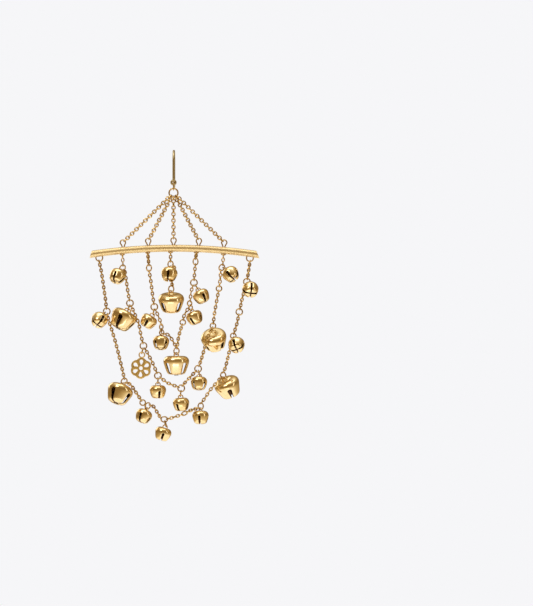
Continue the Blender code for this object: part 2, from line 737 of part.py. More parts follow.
def placed(axis, top_way, top, reach):
    """The matrix that hangs a piece by its top wire, and its middle a reach below."""
    cross = (top_way - axis * top_way.dot(axis)).normalized()
    turned = Matrix((cross, axis.cross(cross), axis)).transposed().to_4x4()
    return Matrix.Translation(top - axis * reach) @ turned


def build_bells(drop):
    """All bells, small and large, each with its bail."""
    for kind, bells, size in (("small", SMALL_BELLS, SMALL_BELL), ("large", LARGE_BELLS, LARGE_BELL)):
        for number, bell in enumerate(bells, 1):
            top, top_way = hanging(bell, size.bail_wire)[1:]
            axis = Vector((sin(radians(bell.tilt)) * cos(radians(bell.nod)), -sin(radians(bell.nod)),
                           cos(radians(bell.tilt)) * cos(radians(bell.nod))))
            matrix = placed(axis, top_way, top, size.height / 2 + size.bail_height)
            front = matrix.to_3x3().transposed() @ FORWARD
            shell = bell_shell(size)
            spin = atan2(front.y, front.x) + radians(bell.turn) + pi / PETALS
            shell.transform(Matrix.Rotation(spin, 4, "Z"))
            mesh = fused([mesh_of(shell), bail_mesh(size)])
            mesh.transform(matrix)
            add_object(f"{kind}_bell_{number:02d}", mesh, BELL_GOLD, drop)


def rosette_mesh():
    """The flat rosette in the XZ plane, with its piercings and its ring on top."""
    bm = bmesh.new()
    sides = ROSETTE_LOBES * 3
    outline = []
    for k in range(sides):
        a = 2 * pi * k / sides
        radius = ROSETTE_RADIUS * (1 - ROSETTE_LOBE_DEPTH * (1 - abs(cos(a * ROSETTE_LOBES / 2))))
        outline.append(bm.verts.new((radius * sin(a), -ROSETTE_THICKNESS / 2, radius * cos(a))))
    face = bm.faces.new(outline)
    walls = bmesh.ops.extrude_face_region(bm, geom=[face])["geom"]
    moved = [item for item in walls if isinstance(item, bmesh.types.BMVert)]
    bmesh.ops.translate(bm, verts=moved, vec=(0, ROSETTE_THICKNESS, 0))
    plate = mesh_of(bm)
    cutters = []
    back = Vector((0, ROSETTE_THICKNESS, 0))
    for k in range(ROSETTE_LOBES + 1):
        a = 2 * pi * k / ROSETTE_LOBES
        place = ROSETTE_HOLE_PLACE if k < ROSETTE_LOBES else 0
        middle = Vector((place * sin(a), 0, place * cos(a)))
        cutters.append(sweep([middle - back, middle + back], ROSETTE_HOLE_RADIUS, sides=6, across=UP))
    pierced = fused([plate, *cutters], "DIFFERENCE")
    centre = Vector((0, 0, ROSETTE_RADIUS + ROSETTE_RING_RADIUS))
    return fused([pierced, ring(centre, Vector((0, 1, 0)), ROSETTE_RING_RADIUS, ROSETTE_RING_WIRE, start=-UP)])


def build_rosette(drop):
    """The pierced rosette on the middle swag."""
    top, top_way = hanging(ROSETTE, ROSETTE_RING_WIRE)[1:]
    axis = Vector((sin(radians(ROSETTE.tilt)), 0, cos(radians(ROSETTE.tilt))))
    mesh = rosette_mesh()
    mesh.transform(placed(axis, top_way, top, ROSETTE_RADIUS + 2 * ROSETTE_RING_RADIUS))
    add_object("pierced_rosette", mesh, SATIN_GOLD, drop)


def main():
    """Builds the earring. All that swings hangs on an empty in the hook's eye."""
    clear_scene()
    build_hook()
    drop = bpy.data.objects.new("drop", None)
    drop.location = SWING_AXIS
    bpy.context.scene.collection.objects.link(drop)
    bpy.context.view_layer.update()
    build_hook_link(drop)
    build_top_ring(drop)
    build_upper_chains(drop)
    build_bar(drop)
    build_strands(drop)
    build_bells(drop)
    build_rosette(drop)


main()
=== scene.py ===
"""Looks of a gold chandelier earring hung with jingle bells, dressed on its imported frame.

Units are metres, +Z is up and the wearer's front is -Y. The origin is the inner side of the hook's crown.
The ear hook rides on the body "hook" and all that swings under it on the body "drop".
"""

from __future__ import annotations

import json
import logging
from dataclasses import dataclass, field
from enum import Enum
from math import asin, atan2, cos, pi, radians, sin, sqrt, tan

import bmesh
import bpy
from bmesh.types import BMesh, BMFace, BMVert
from bpy.types import ID, Material, Mesh, Node, NodeSocket, NodeTree, Object
from mathutils import Matrix, Vector

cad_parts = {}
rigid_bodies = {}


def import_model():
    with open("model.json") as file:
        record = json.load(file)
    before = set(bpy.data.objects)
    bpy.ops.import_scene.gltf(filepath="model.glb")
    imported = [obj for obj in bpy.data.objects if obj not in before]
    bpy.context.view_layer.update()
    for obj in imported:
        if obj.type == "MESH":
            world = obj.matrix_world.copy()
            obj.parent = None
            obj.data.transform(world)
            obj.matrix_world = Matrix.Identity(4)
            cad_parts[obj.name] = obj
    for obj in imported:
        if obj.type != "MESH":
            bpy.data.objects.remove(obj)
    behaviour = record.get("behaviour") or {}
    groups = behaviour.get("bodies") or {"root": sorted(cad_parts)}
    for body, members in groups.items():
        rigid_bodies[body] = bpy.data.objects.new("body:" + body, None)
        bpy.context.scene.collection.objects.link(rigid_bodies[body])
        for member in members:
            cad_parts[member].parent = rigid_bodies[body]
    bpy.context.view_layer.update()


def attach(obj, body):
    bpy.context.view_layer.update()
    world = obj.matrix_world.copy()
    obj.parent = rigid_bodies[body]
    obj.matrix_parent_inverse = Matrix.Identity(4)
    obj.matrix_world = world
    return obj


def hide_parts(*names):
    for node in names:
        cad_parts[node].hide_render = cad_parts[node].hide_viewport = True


LOG = logging.getLogger("earring")

FORWARD = Vector((0, -1, 0))
BACK = Vector((0, 1, 0))
RIGHT = Vector((1, 0, 0))
UP = Vector((0, 0, 1))

LINK_GAP = 0.00012
SOLDER = 0.00006
SMOOTH_LIMIT = radians(38)
BUMP_STRENGTH = 0.6

Source = Node | NodeSocket
Inputs = dict[str | int, object]
Modifiers = list[tuple[str, dict[str, object], Inputs]]


class Body(Enum):
    """The rigid bodies of the frame that pieces ride on."""

    HOOK = "hook"
    DROP = "drop"


class BellKind(Enum):
    """The two stock sizes of bell."""

    SMALL = "small"
    LARGE = "large"


class Hang(Enum):
    """How a bell hangs on a ring of its strand."""

    DIRECT = "by its bail"
    JUMP = "on a jump ring"


class Texture(Enum):
    """The fine surface that a finish has."""

    POLISHED = "polished"
    BRUSHED = "brushed along its length"


def placed(name: str, data: ID) -> Object:
    """A new object in the scene."""
    obj = bpy.data.objects.new(name, data)
    bpy.context.scene.collection.objects.link(obj)
    return obj


# Node trees


class TreeBuilder:
    """Builds one node tree, for geometry or for shading, from named sockets."""

    SOCKETS = {float: "NodeSocketFloat", int: "NodeSocketInt", tuple: "NodeSocketColor"}

    def __init__(self, tree: NodeTree) -> None:
        """Wraps a tree.

        Args:
            tree: The tree that nodes are added to.
        """
        self.tree = tree
        self.sockets: dict[str, str] = {}
        self.source: Node | None = None

    @classmethod
    def group(cls, name: str, kind: str, inputs: dict[str, object]) -> TreeBuilder:
        """Starts a new node group.

        Args:
            name: The group's name.
            kind: The type of tree.
            inputs: For each named input its default, or the socket's type where it has none.

        Returns:
            A builder whose group has its input node.
        """
        builder = cls(bpy.data.node_groups.new(name, kind))
        builder.source = builder.tree.nodes.new("NodeGroupInput")
        for title, value in inputs.items():
            socket = value if isinstance(value, str) else cls.SOCKETS[type(value)]
            item = builder.tree.interface.new_socket(name=title, in_out="INPUT", socket_type=socket)
            if socket is not value:
                item.default_value = value
            builder.sockets[title] = item.identifier
        return builder

    def given(self, name: str) -> NodeSocket:
        """The value that arrives at a named input."""
        return self.source.outputs[name]

    def add(self, kind: str, inputs: Inputs | None = None, **settings: object) -> Node:
        """Adds a node.

        Args:
            kind: The node's type.
            inputs: Its inputs by name or index, each a value, or the socket or the node that feeds it.
            settings: Its properties.

        Returns:
            The new node.
        """
        node = self.tree.nodes.new(kind)
        for name, value in settings.items():
            setattr(node, name, value)
        for name, value in (inputs or {}).items():
            if isinstance(value, Node):
                value = value.outputs[0]
            if isinstance(value, NodeSocket):
                self.tree.links.new(value, node.inputs[name])
            else:
                node.inputs[name].default_value = value
        return node

    def math(self, operation: str, *values: object) -> NodeSocket:
        """The result of one math operation on up to three values or sockets."""
        return self.add("ShaderNodeMath", dict(enumerate(values)), operation=operation).outputs[0]

    def about_middle(self, value: Source, width: Source) -> NodeSocket:
        """A value from 0 to 1, moved to lie round 0 and scaled to a width."""
        return self.math("MULTIPLY", self.math("SUBTRACT", value, 0.5), width)

    def jitter(self, name: str) -> NodeSocket:
        """A random value from minus to plus a named input, drawn with the input Seed."""
        spread = self.given(name)
        inputs = {2: self.math("MULTIPLY", spread, -1.0), 3: spread, "Seed": self.given("Seed")}
        return self.add("FunctionNodeRandomValue", inputs, data_type="FLOAT").outputs[1]

    def circle(self, points: int, radius: str) -> Node:
        """A circle of so many points, with a named input as its radius."""
        inputs = {"Resolution": points, "Radius": self.given(radius)}
        return self.add("GeometryNodeCurvePrimitiveCircle", inputs)

    def planted(self, points: Source, shape: Source, facing: Source, axis: Vector, spin: Source) -> Node:
        """Real copies of a shape on points, in the material of the input Plating.

        Args:
            points: Where they stand.
            shape: What stands there.
            facing: How each is turned before it spins.
            axis: The axis of its own that each spins about.
            spin: How far each spins.

        Returns:
            Their geometry.
        """
        roll = self.add("FunctionNodeAxisAngleToRotation", {"Axis": tuple(axis), "Angle": spin})
        turned = self.add("FunctionNodeRotateRotation", {0: facing, 1: roll}, rotation_space="LOCAL")
        inputs = {"Points": points, "Instance": shape, "Rotation": turned}
        copies = self.add("GeometryNodeInstanceOnPoints", inputs)
        real = self.add("GeometryNodeRealizeInstances", {0: copies})
        return self.add("GeometryNodeSetMaterial", {"Geometry": real, "Material": self.given("Plating")})

    def finish(self, outputs: dict[str, tuple[str, Source]]) -> NodeTree:
        """Ends a group with its named outputs.

        Args:
            outputs: For each output its socket type and what feeds it.

        Returns:
            The finished group.
        """
        for name, (kind, _) in outputs.items():
            self.tree.interface.new_socket(name=name, in_out="OUTPUT", socket_type=kind)
        self.add("NodeGroupOutput", {name: socket for name, (_, socket) in outputs.items()})
        return self.tree


class ShaderGroups:
    """The shader groups that the finishes share."""

    def __init__(self) -> None:
        """Builds each group once."""
        self.tone = self._plating_tone()
        self.polish = self._polish_marks()
        self.grain = self._brushed_grain()

    def _plating_tone(self) -> NodeTree:
        """Cloudy shift of the plating between its full and its deep colour.

        Returns:
            The group, whose output is Color.
        """
        b = TreeBuilder.group("plating_tone", "ShaderNodeTree", {
            "Full Color": (0.8, 0.5, 0.2, 1), "Deep Color": (0.6, 0.3, 0.1, 1), "Scale": 400.0,
        })
        place = b.add("ShaderNodeTexCoord").outputs["Object"]
        noise = {"Vector": place, "Scale": b.given("Scale"), "Detail": 3.0, "Roughness": 0.55}
        cloud = b.add("ShaderNodeTexNoise", noise)
        share = b.add("ShaderNodeMapRange", {"Value": cloud, "From Min": 0.35, "From Max": 0.7})
        colours = {0: share, 6: b.given("Full Color"), 7: b.given("Deep Color")}
        mix = b.add("ShaderNodeMix", colours, data_type="RGBA")
        return b.finish({"Color": ("NodeSocketColor", mix.outputs[2])})

    def _polish_marks(self) -> NodeTree:
        """Soft waviness and hairline marks that polishing leaves.

        Returns:
            The group, whose outputs are Roughness and Height.
        """
        b = TreeBuilder.group("polish_marks", "ShaderNodeTree", {
            "Roughness": 0.2, "Variation": 0.08, "Wave Scale": 700.0,
        })
        place = b.add("ShaderNodeTexCoord").outputs["Object"]
        wave = b.add("ShaderNodeTexNoise", {"Vector": place, "Scale": b.given("Wave Scale"), "Detail": 2.0})
        lie = {"Vector": place, "Rotation": (0.5, 0.9, 0.3), "Scale": (1.0, 0.12, 1.0)}
        turned = b.add("ShaderNodeMapping", lie, vector_type="TEXTURE")
        hair = b.add("ShaderNodeTexNoise", {"Vector": turned, "Scale": 5200.0, "Detail": 2.0})
        spread, clouds = (b.about_middle(noise, b.given("Variation")) for noise in (hair, wave))
        rough = b.math("ADD", b.given("Roughness"), b.math("ADD", spread, clouds))
        height = b.math("MULTIPLY_ADD", hair, 0.06, wave)
        return b.finish({"Roughness": ("NodeSocketFloat", rough), "Height": ("NodeSocketFloat", height)})

    def _brushed_grain(self) -> NodeTree:
        """Long fine streaks along a piece's own length, read from its UV map.

        Returns:
            The group, whose outputs are Roughness and Height.
        """
        b = TreeBuilder.group("brushed_grain", "ShaderNodeTree", {
            "Roughness": 0.3, "Variation": 0.15, "Length Scale": 300.0, "Width Scale": 6000.0,
        })
        along = b.add("ShaderNodeUVMap", uv_map="run")
        size = b.add("ShaderNodeCombineXYZ", {0: b.given("Length Scale"), 1: b.given("Width Scale"), 2: 1.0})
        stretched = b.add("ShaderNodeVectorMath", {0: along, 1: size}, operation="MULTIPLY")
        streak = b.add("ShaderNodeTexNoise", {"Vector": stretched, "Scale": 1.0, "Detail": 3.0})
        rough = b.math("ADD", b.about_middle(streak, b.given("Variation")), b.given("Roughness"))
        return b.finish({"Roughness": ("NodeSocketFloat", rough), "Height": ("NodeSocketFloat", streak)})


# Finishes


@dataclass(frozen=True)
class Finish:
    """One plated finish.

    Attributes:
        name: The material's name.
        slot: The record's material slot that it answers to; not used.
        full: The plating's colour.
        deep: The colour of its deeper clouds.
        roughness: Its mean roughness.
        texture: Its fine surface.
        variation: How far its roughness varies.
        relief: The depth of its bump, in metres.
        cloud_scale: How fine its colour clouds are, per metre.
        metallic: How metallic it is.
    """

    name: str
    slot: str
    full: tuple[float, float, float]
    deep: tuple[float, float, float]
    roughness: float
    texture: Texture = Texture.POLISHED
    variation: float = 0.08
    relief: float = 0.00002
    cloud_scale: float = 420.0
    metallic: float = 1.0

    def material(self, groups: ShaderGroups) -> Material:
        """Builds the finish as a material.

        Args:
            groups: The shared shader groups.

        Returns:
            The material.
        """
        material = bpy.data.materials.new(self.name)
        material.use_nodes = True
        b = TreeBuilder(material.node_tree)
        shader = material.node_tree.nodes["Principled BSDF"]
        shader.inputs["Metallic"].default_value = self.metallic
        tone = b.add(
            "ShaderNodeGroup",
            {"Full Color": (*self.full, 1), "Deep Color": (*self.deep, 1), "Scale": self.cloud_scale},
            node_tree=groups.tone,
        )
        marks = b.add(
            "ShaderNodeGroup", {"Roughness": self.roughness, "Variation": self.variation},
            node_tree=groups.grain if self.texture is Texture.BRUSHED else groups.polish,
        )
        height = marks.outputs["Height"]
        relief = {"Height": height, "Distance": self.relief, "Strength": BUMP_STRENGTH}
        bump = b.add("ShaderNodeBump", relief)
        b.tree.links.new(tone.outputs["Color"], shader.inputs["Base Color"])
        b.tree.links.new(marks.outputs["Roughness"], shader.inputs["Roughness"])
        b.tree.links.new(bump.outputs["Normal"], shader.inputs["Normal"])
        return material


HOOK_GOLD = Finish(
    "hook_pale_gold", "hook_gold", (0.56, 0.47, 0.28), (0.46, 0.37, 0.20), 0.30, relief=0.000001,
)
BAR_GOLD = Finish(
    "bar_satin_gold", "satin_gold", (0.82, 0.66, 0.38), (0.77, 0.60, 0.32), 0.44, Texture.BRUSHED,
    variation=0.05, relief=0.0000001,
)
PLATE_GOLD = Finish(
    "rosette_satin_gold", "satin_gold", (0.92, 0.70, 0.30), (0.86, 0.63, 0.25), 0.36, variation=0.14,
)
CHAIN_GOLD = Finish(
    "chain_bright_gold", "chain_gold", (0.67, 0.47, 0.19), (0.53, 0.35, 0.12), 0.22, relief=0.000004,
)
BELL_GOLD = Finish("bell_polished_gold", "bell_gold", (0.93, 0.75, 0.44), (0.88, 0.67, 0.34), 0.14)
# Painted shade: the bell's inner wall and its loose ball get this near-black brown so that the slots read
# dark.
BELL_INSIDE_SHADE = Finish(
    "bell_inside_painted_shade", "bell_gold", (0.16, 0.065, 0.022), (0.09, 0.032, 0.011), 0.5,
    variation=0.2, relief=0.00004, metallic=0.6,
)


# Meshes


class Metalwork:
    """Shapes that several pieces are made of."""

    CAP_LIFTS = (0.5, 0.85)
    CAP_DEPTH = 0.6

    @staticmethod
    def mesh_of(bm: BMesh, turn_out: bool = True) -> Mesh:
        """Ends a bmesh as a mesh.

        Args:
            bm: The bmesh, which is freed.
            turn_out: Whether its faces are turned outwards first.

        Returns:
            The mesh.
        """
        if turn_out:
            bmesh.ops.recalc_face_normals(bm, faces=bm.faces)
        mesh = bpy.data.meshes.new("shape")
        bm.to_mesh(mesh)
        bm.free()
        return mesh

    @staticmethod
    def smooth_route(points: list[Vector], fine: int = 12) -> list[Vector]:
        """Points close together on a smooth curve through the given ones.

        Args:
            points: The points that the curve passes.
            fine: How many points each stretch gets.

        Returns:
            The close points.
        """
        if len(points) == 2:
            return [points[0].lerp(points[1], k / fine) for k in range(fine + 1)]
        ends = [points[0] * 2 - points[1], *points, points[-1] * 2 - points[-2]]
        dense = []
        for a, b, c, d in zip(ends, ends[1:], ends[2:], ends[3:]):
            for k in range(fine):
                t = k / fine
                square = (a * 2 - b * 5 + c * 4 - d) * t**2
                dense.append(((b * 2) + (c - a) * t + square + (b * 3 - a - c * 3 + d) * t**3) / 2)
        dense.append(points[-1].copy())
        return dense

    @staticmethod
    def arc(
        centre: Vector, first: Vector, second: Vector, radius: float, steps: int,
        start: float = 0.0, sweep: float = pi,
    ) -> list[Vector]:
        """Points at even angles on an arc.

        Args:
            centre: Its middle.
            first: The way of angle 0.
            second: The way of a quarter turn.
            radius: Its radius.
            steps: Into how many steps it is cut.
            start: The angle of its first point.
            sweep: The angle from its first point to its last.

        Returns:
            The points, one more than the steps.
        """
        turns = [start + sweep * k / steps for k in range(steps + 1)]
        return [centre + (first * cos(a) + second * sin(a)) * radius for a in turns]

    @staticmethod
    def bridge(bm: BMesh, low: list[BMVert], high: list[BMVert], closed: bool = True) -> list[BMFace]:
        """The faces between two rows of points, which run back into their start where closed."""
        count = len(low)
        pairs = [(k, (k + 1) % count) for k in range(count if closed else count - 1)]
        return [bm.faces.new((low[k], low[j], high[j], high[k])) for k, j in pairs]

    @staticmethod
    def fan(bm: BMesh, tip: BMVert, rim: list[BMVert]) -> None:
        """The faces between a point and a closed row of points."""
        for k in range(len(rim)):
            bm.faces.new((tip, rim[k], rim[(k + 1) % len(rim)]))

    @staticmethod
    def wire(
        points: list[Vector], radii: float | list[float], across: Vector,
        closed: bool = False, sides: int = 12,
    ) -> Mesh:
        """A round wire along points.

        Args:
            points: The middle of the wire.
            radii: Its radius, or one radius for each point.
            across: A direction off the path, which steadies the section.
            closed: Whether the wire runs back into its start.
            sides: How many sides the section has.

        Returns:
            The wire as a closed mesh with rounded ends.
        """
        bm = bmesh.new()
        count = len(points)
        if isinstance(radii, float):
            radii = [radii] * count
        rings, alongs = [], []
        for i, point in enumerate(points):
            if closed:
                ahead, behind = points[(i + 1) % count], points[i - 1]
            else:
                ahead, behind = points[min(i + 1, count - 1)], points[max(i - 1, 0)]
            along = (ahead - behind).normalized()
            side = (across - along * across.dot(along)).normalized()
            ring = Metalwork.arc(point, side, along.cross(side), radii[i], sides, sweep=2 * pi)
            rings.append([bm.verts.new(spot) for spot in ring[:-1]])
            alongs.append(along)
        for low, high in zip(rings, rings[1:]):
            Metalwork.bridge(bm, low, high)
        if closed:
            Metalwork.bridge(bm, rings[-1], rings[0])
            return Metalwork.mesh_of(bm)
        for end, way in ((0, -alongs[0]), (-1, alongs[-1])):
            last, middle, lift = rings[end], points[end], way * radii[end] * Metalwork.CAP_DEPTH
            for share in Metalwork.CAP_LIFTS:
                shrink = sqrt(1 - share**2)
                turn = [bm.verts.new(middle + (v.co - middle) * shrink + lift * share) for v in rings[end]]
                Metalwork.bridge(bm, last, turn)
                last = turn
            Metalwork.fan(bm, bm.verts.new(middle + lift), last)
        return Metalwork.mesh_of(bm)

    @staticmethod
    def loop(
        centre: Vector, normal: Vector, radius: float, wire: float, start: Vector,
        steps: int = 40, sides: int = 12,
    ) -> Mesh:
        """A round ring of wire.

        Args:
            centre: Its middle.
            normal: Its axis.
            radius: Its radius to the middle of the wire.
            wire: The wire's diameter.
            start: The way its first point lies.
            steps: How many points it has.
            sides: How many sides the wire has.

        Returns:
            The ring's mesh.
        """
        first = (start - normal * start.dot(normal)).normalized()
        points = Metalwork.arc(centre, first, normal.cross(first), radius, steps, sweep=2 * pi)
        return Metalwork.wire(points[:-1], wire / 2, normal, closed=True, sides=sides)

    @staticmethod
    def joined(meshes: list[Mesh], turn_out: bool = False) -> Mesh:
        """One mesh of several, each left as it is or with its faces turned outwards."""
        bm = bmesh.new()
        for mesh in meshes:
            bm.from_mesh(mesh)
            bpy.data.meshes.remove(mesh)
        return Metalwork.mesh_of(bm, turn_out)

    @staticmethod
    def evaluated(mesh: Mesh, dress: Modifiers) -> Mesh:
        """A mesh as its modifiers leave it.

        Args:
            mesh: The mesh that they work on.
            dress: The type of each modifier, its properties and its node inputs, in order.

        Returns:
            A plain mesh with no modifier left.
        """
        helper = placed("helper", mesh)
        for kind, settings, inputs in dress:
            modifier = helper.modifiers.new(kind.lower(), kind)
            for name, value in settings.items():
                setattr(modifier, name, value)
            for key, value in inputs.items():
                modifier[key] = value
        graph = bpy.context.evaluated_depsgraph_get()
        result = bpy.data.meshes.new_from_object(helper.evaluated_get(graph))
        helper.modifiers.clear()
        bpy.data.objects.remove(helper)
        return result

    @staticmethod
    def bevel(width: float, segments: int, angle: float) -> tuple[str, dict[str, object], Inputs]:
        """A rounding of the edges sharper than an angle in degrees."""
        limit = {"limit_method": "ANGLE", "angle_limit": radians(angle)}
        return "BEVEL", {"width": width, "segments": segments, **limit}, {}


class Workshop:
    """Dresses meshes as pieces of the earring and keeps the materials."""

    def __init__(self) -> None:
        """Builds the shader groups and starts with no material."""
        self.groups = ShaderGroups()
        self.materials: dict[str, Material] = {}

    def coat(self, finish: Finish) -> Material:
        """The material of a finish, built when it is first asked for."""
        if finish.name not in self.materials:
            self.materials[finish.name] = finish.material(self.groups)
        return self.materials[finish.name]

    def piece(self, name: str, mesh: Mesh, finishes: list[Finish], body: Body, nodes: list[str]) -> Object:
        """Makes a mesh a piece of the earring.

        Args:
            name: The piece's name.
            mesh: Its mesh, already in place.
            finishes: Its finishes, one for each material index.
            body: The body that it rides on.
            nodes: The nodes of the frame that it stands for.

        Returns:
            The piece.
        """
        mesh.name = name
        sides = [face.material_index for face in mesh.polygons]
        mesh.materials.clear()
        for finish in finishes:
            mesh.materials.append(self.coat(finish))
        mesh.polygons.foreach_set("material_index", sides)
        mesh.shade_smooth()
        mesh.set_sharp_from_angle(angle=SMOOTH_LIMIT)
        obj = placed(name, mesh)
        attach(obj, body.value)
        if nodes:
            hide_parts(*nodes)
        LOG.info("%s: %d faces on %s", name, len(mesh.polygons), body.value)
        return obj


# Repeated links and rings


class LinkTree:
    """Geometry nodes that lay cable chain along every stretch of edges in a mesh."""

    def __init__(self) -> None:
        """Builds the tree."""
        b = TreeBuilder.group("chain_links", "GeometryNodeTree", {
            "Runs": "NodeSocketGeometry", "Pitch": 0.001, "Half Length": 0.0008, "Half Width": 0.0005,
            "Wire Radius": 0.0002, "Roll Jitter": 0.0, "Seed": 0, "Plating": "NodeSocketMaterial",
        })
        runs = b.add("GeometryNodeMeshToCurve", {0: b.given("Runs")})
        length = b.add("GeometryNodeSplineLength").outputs["Length"]
        pairs = b.math("ROUND", b.math("DIVIDE", length, b.math("MULTIPLY", b.given("Pitch"), 2.0)))
        count = b.math("MULTIPLY_ADD", pairs, 2.0, 1.0)
        even = b.add("GeometryNodeResampleCurve", {"Curve": runs, "Count": count}, mode="COUNT")
        circle = b.circle(20, "Half Length")
        slimmer = b.math("DIVIDE", b.given("Half Width"), b.given("Half Length"))
        squeeze = b.add("ShaderNodeCombineXYZ", {0: 1.0, 1: slimmer, 2: 1.0})
        oval = b.add("GeometryNodeTransform", {"Geometry": circle, "Scale": squeeze})
        section = b.circle(8, "Wire Radius")
        link = b.add("GeometryNodeCurveToMesh", {"Curve": oval, "Profile Curve": section})
        facing = b.add(
            "FunctionNodeAxesToRotation", {0: b.add("GeometryNodeInputTangent"), 1: tuple(FORWARD)},
            primary_axis="X", secondary_axis="Z",
        )
        odd = b.math("MODULO", b.add("GeometryNodeSplineParameter").outputs["Index"], 2.0)
        quarter = b.math("MULTIPLY", b.math("SUBTRACT", 1.0, odd), pi / 2)
        roll = b.math("ADD", quarter, b.jitter("Roll Jitter"))
        plated = b.planted(even, link, facing, RIGHT, roll)
        self.sockets = b.sockets
        self.tree = b.finish({"Chain": ("NodeSocketGeometry", plated)})


class RingTree:
    """Geometry nodes that set an open round ring, with its hairline split, on every point of a mesh."""

    def __init__(self) -> None:
        """Builds the tree."""
        b = TreeBuilder.group("split_rings", "GeometryNodeTree", {
            "Places": "NodeSocketGeometry", "Ring Radius": 0.0012, "Wire Radius": 0.00026,
            "Split Angle": radians(3), "Split Place": radians(70), "Split Jitter": 0.5, "Seed": 0,
            "Plating": "NodeSocketMaterial",
        })
        sweep = b.math("SUBTRACT", 2 * pi, b.given("Split Angle"))
        size = {"Resolution": 40, "Radius": b.given("Ring Radius")}
        turns = {"Start Angle": b.given("Split Place"), "Sweep Angle": sweep}
        arc = b.add("GeometryNodeCurveArc", {**size, **turns}, mode="RADIUS")
        section = b.circle(12, "Wire Radius")
        shape = b.add("GeometryNodeCurveToMesh", {"Curve": arc, "Profile Curve": section, "Fill Caps": True})
        ways = {
            index: b.add("GeometryNodeInputNamedAttribute", {"Name": name}, data_type="FLOAT_VECTOR")
            for index, name in enumerate(("axis", "start"))
        }
        facing = b.add("FunctionNodeAxesToRotation", ways, primary_axis="Z", secondary_axis="X")
        plated = b.planted(b.given("Places"), shape, facing, UP, b.jitter("Split Jitter"))
        self.sockets = b.sockets
        self.tree = b.finish({"Rings": ("NodeSocketGeometry", plated)})


def grown(mesh: Mesh, kind: LinkTree | RingTree, values: dict[str, object]) -> Mesh:
    """The plain mesh that a geometry node tree makes of a mesh.

    Args:
        mesh: The mesh that the tree starts from.
        kind: The tree.
        values: Its inputs by name.

    Returns:
        The realised mesh, with its faces outwards.
    """
    inputs = {kind.sockets[name]: value for name, value in values.items()}
    result = Metalwork.evaluated(mesh, [("NODES", {"node_group": kind.tree}, inputs)])
    return Metalwork.joined([result], turn_out=True)


@dataclass(frozen=True)
class RingPlace:
    """Where a ring lies: its middle, its axis and the way to where it is held."""

    centre: Vector
    axis: Vector
    start: Vector


@dataclass
class ChainMaker:
    """Makes cable chain and split rings.

    Attributes:
        shop: Dresses the pieces.
        pitch: The distance from link to link.
        half_length: Half a link's length, to the middle of its wire.
        half_width: Half its width, to the middle of its wire.
        link_wire: The diameter of a link's wire.
        roll_jitter: How far a link may roll either way.
        link_tree: The nodes that lay links.
        ring_tree: The nodes that set rings.
    """

    shop: Workshop
    pitch: float = 0.00117
    half_length: float = 0.0008
    half_width: float = 0.0005
    link_wire: float = 0.00046
    roll_jitter: float = 0.22
    link_tree: LinkTree = field(default_factory=LinkTree)
    ring_tree: RingTree = field(default_factory=RingTree)

    def reach(self, held_wire: float) -> float:
        """How far from the middle of the wire that it hangs on an end link's middle lies."""
        return self.half_length - self.link_wire / 2 - held_wire / 2

    def chain(
        self, name: str, runs: list[list[Vector]], nodes: list[str], seed: int, roundness: float = 1.0
    ) -> Object:
        """Chain along runs, as one piece.

        Args:
            name: The piece's name.
            runs: The points that each run passes, from one end link's middle to the other's.
            nodes: The nodes of the frame that it stands for.
            seed: The seed of its jitter.
            roundness: How much wider than usual its links are.

        Returns:
            The piece.
        """
        bm = bmesh.new()
        for run in runs:
            verts = [bm.verts.new(point) for point in Metalwork.smooth_route(run)]
            for a, b in zip(verts, verts[1:]):
                bm.edges.new((a, b))
        values = {
            "Pitch": self.pitch, "Half Length": self.half_length, "Half Width": self.half_width * roundness,
            "Wire Radius": self.link_wire / 2, "Roll Jitter": self.roll_jitter, "Seed": seed,
            "Plating": self.shop.coat(CHAIN_GOLD),
        }
        mesh = grown(Metalwork.mesh_of(bm, turn_out=False), self.link_tree, values)
        return self.shop.piece(name, mesh, [CHAIN_GOLD], Body.DROP, nodes)

    def rings(self, name: str, places: list[RingPlace], radius: float, wire: float, seed: int) -> Object:
        """Split rings of one size, as one piece.

        Args:
            name: The piece's name.
            places: Where they lie.
            radius: Their radius to the middle of the wire.
            wire: The wire's diameter.
            seed: The seed of where they are split.

        Returns:
            The piece.
        """
        mesh = bpy.data.meshes.new("places")
        mesh.from_pydata([place.centre for place in places], [], [])
        for title, ways in (("axis", [p.axis for p in places]), ("start", [p.start for p in places])):
            attribute = mesh.attributes.new(title, "FLOAT_VECTOR", "POINT")
            attribute.data.foreach_set("vector", [value for way in ways for value in way])
        plating = self.shop.coat(CHAIN_GOLD)
        values = {"Ring Radius": radius, "Wire Radius": wire / 2, "Seed": seed, "Plating": plating}
        mesh = grown(mesh, self.ring_tree, values)
        return self.shop.piece(name, mesh, [CHAIN_GOLD], Body.DROP, [])


# Layout


@dataclass(frozen=True)
class Stop:
    """One place that a strand passes.

    Attributes:
        name: The ring's name, or an empty text where the chain only passes.
        along: The share of the strand's half span.
        fall: The share of its drop.
        depth: The distance behind the bar's plane, in chain widths.
        radius: The ring's radius to the middle of its wire.
        lie: The angle at which the ring's long way lies in the front view, in degrees.
        slant: How far it is turned about its long way, in degrees.
    """

    name: str
    along: float
    fall: float
    depth: float = 0.0
    radius: float = 0.00127
    lie: float = 90.0
    slant: float = 0.0

    def normal(self) -> Vector:
        """The ring's axis."""
        long_way = Vector((cos(radians(self.lie)), 0, sin(radians(self.lie))))
        return Matrix.Rotation(radians(self.slant), 3, long_way) @ FORWARD

    def rim(self, heading: Vector) -> Vector:
        """The direction in the ring's plane that comes closest to a heading."""
        normal = self.normal()
        return (heading - normal * heading.dot(normal)).normalized()


SMALL_RING = 0.00105
PLAIN_RING = 0.00122


def way(along: float, fall: float, depth: float = 0.0) -> Stop:
    """A place that the chain only passes."""
    return Stop("", along, fall, depth)


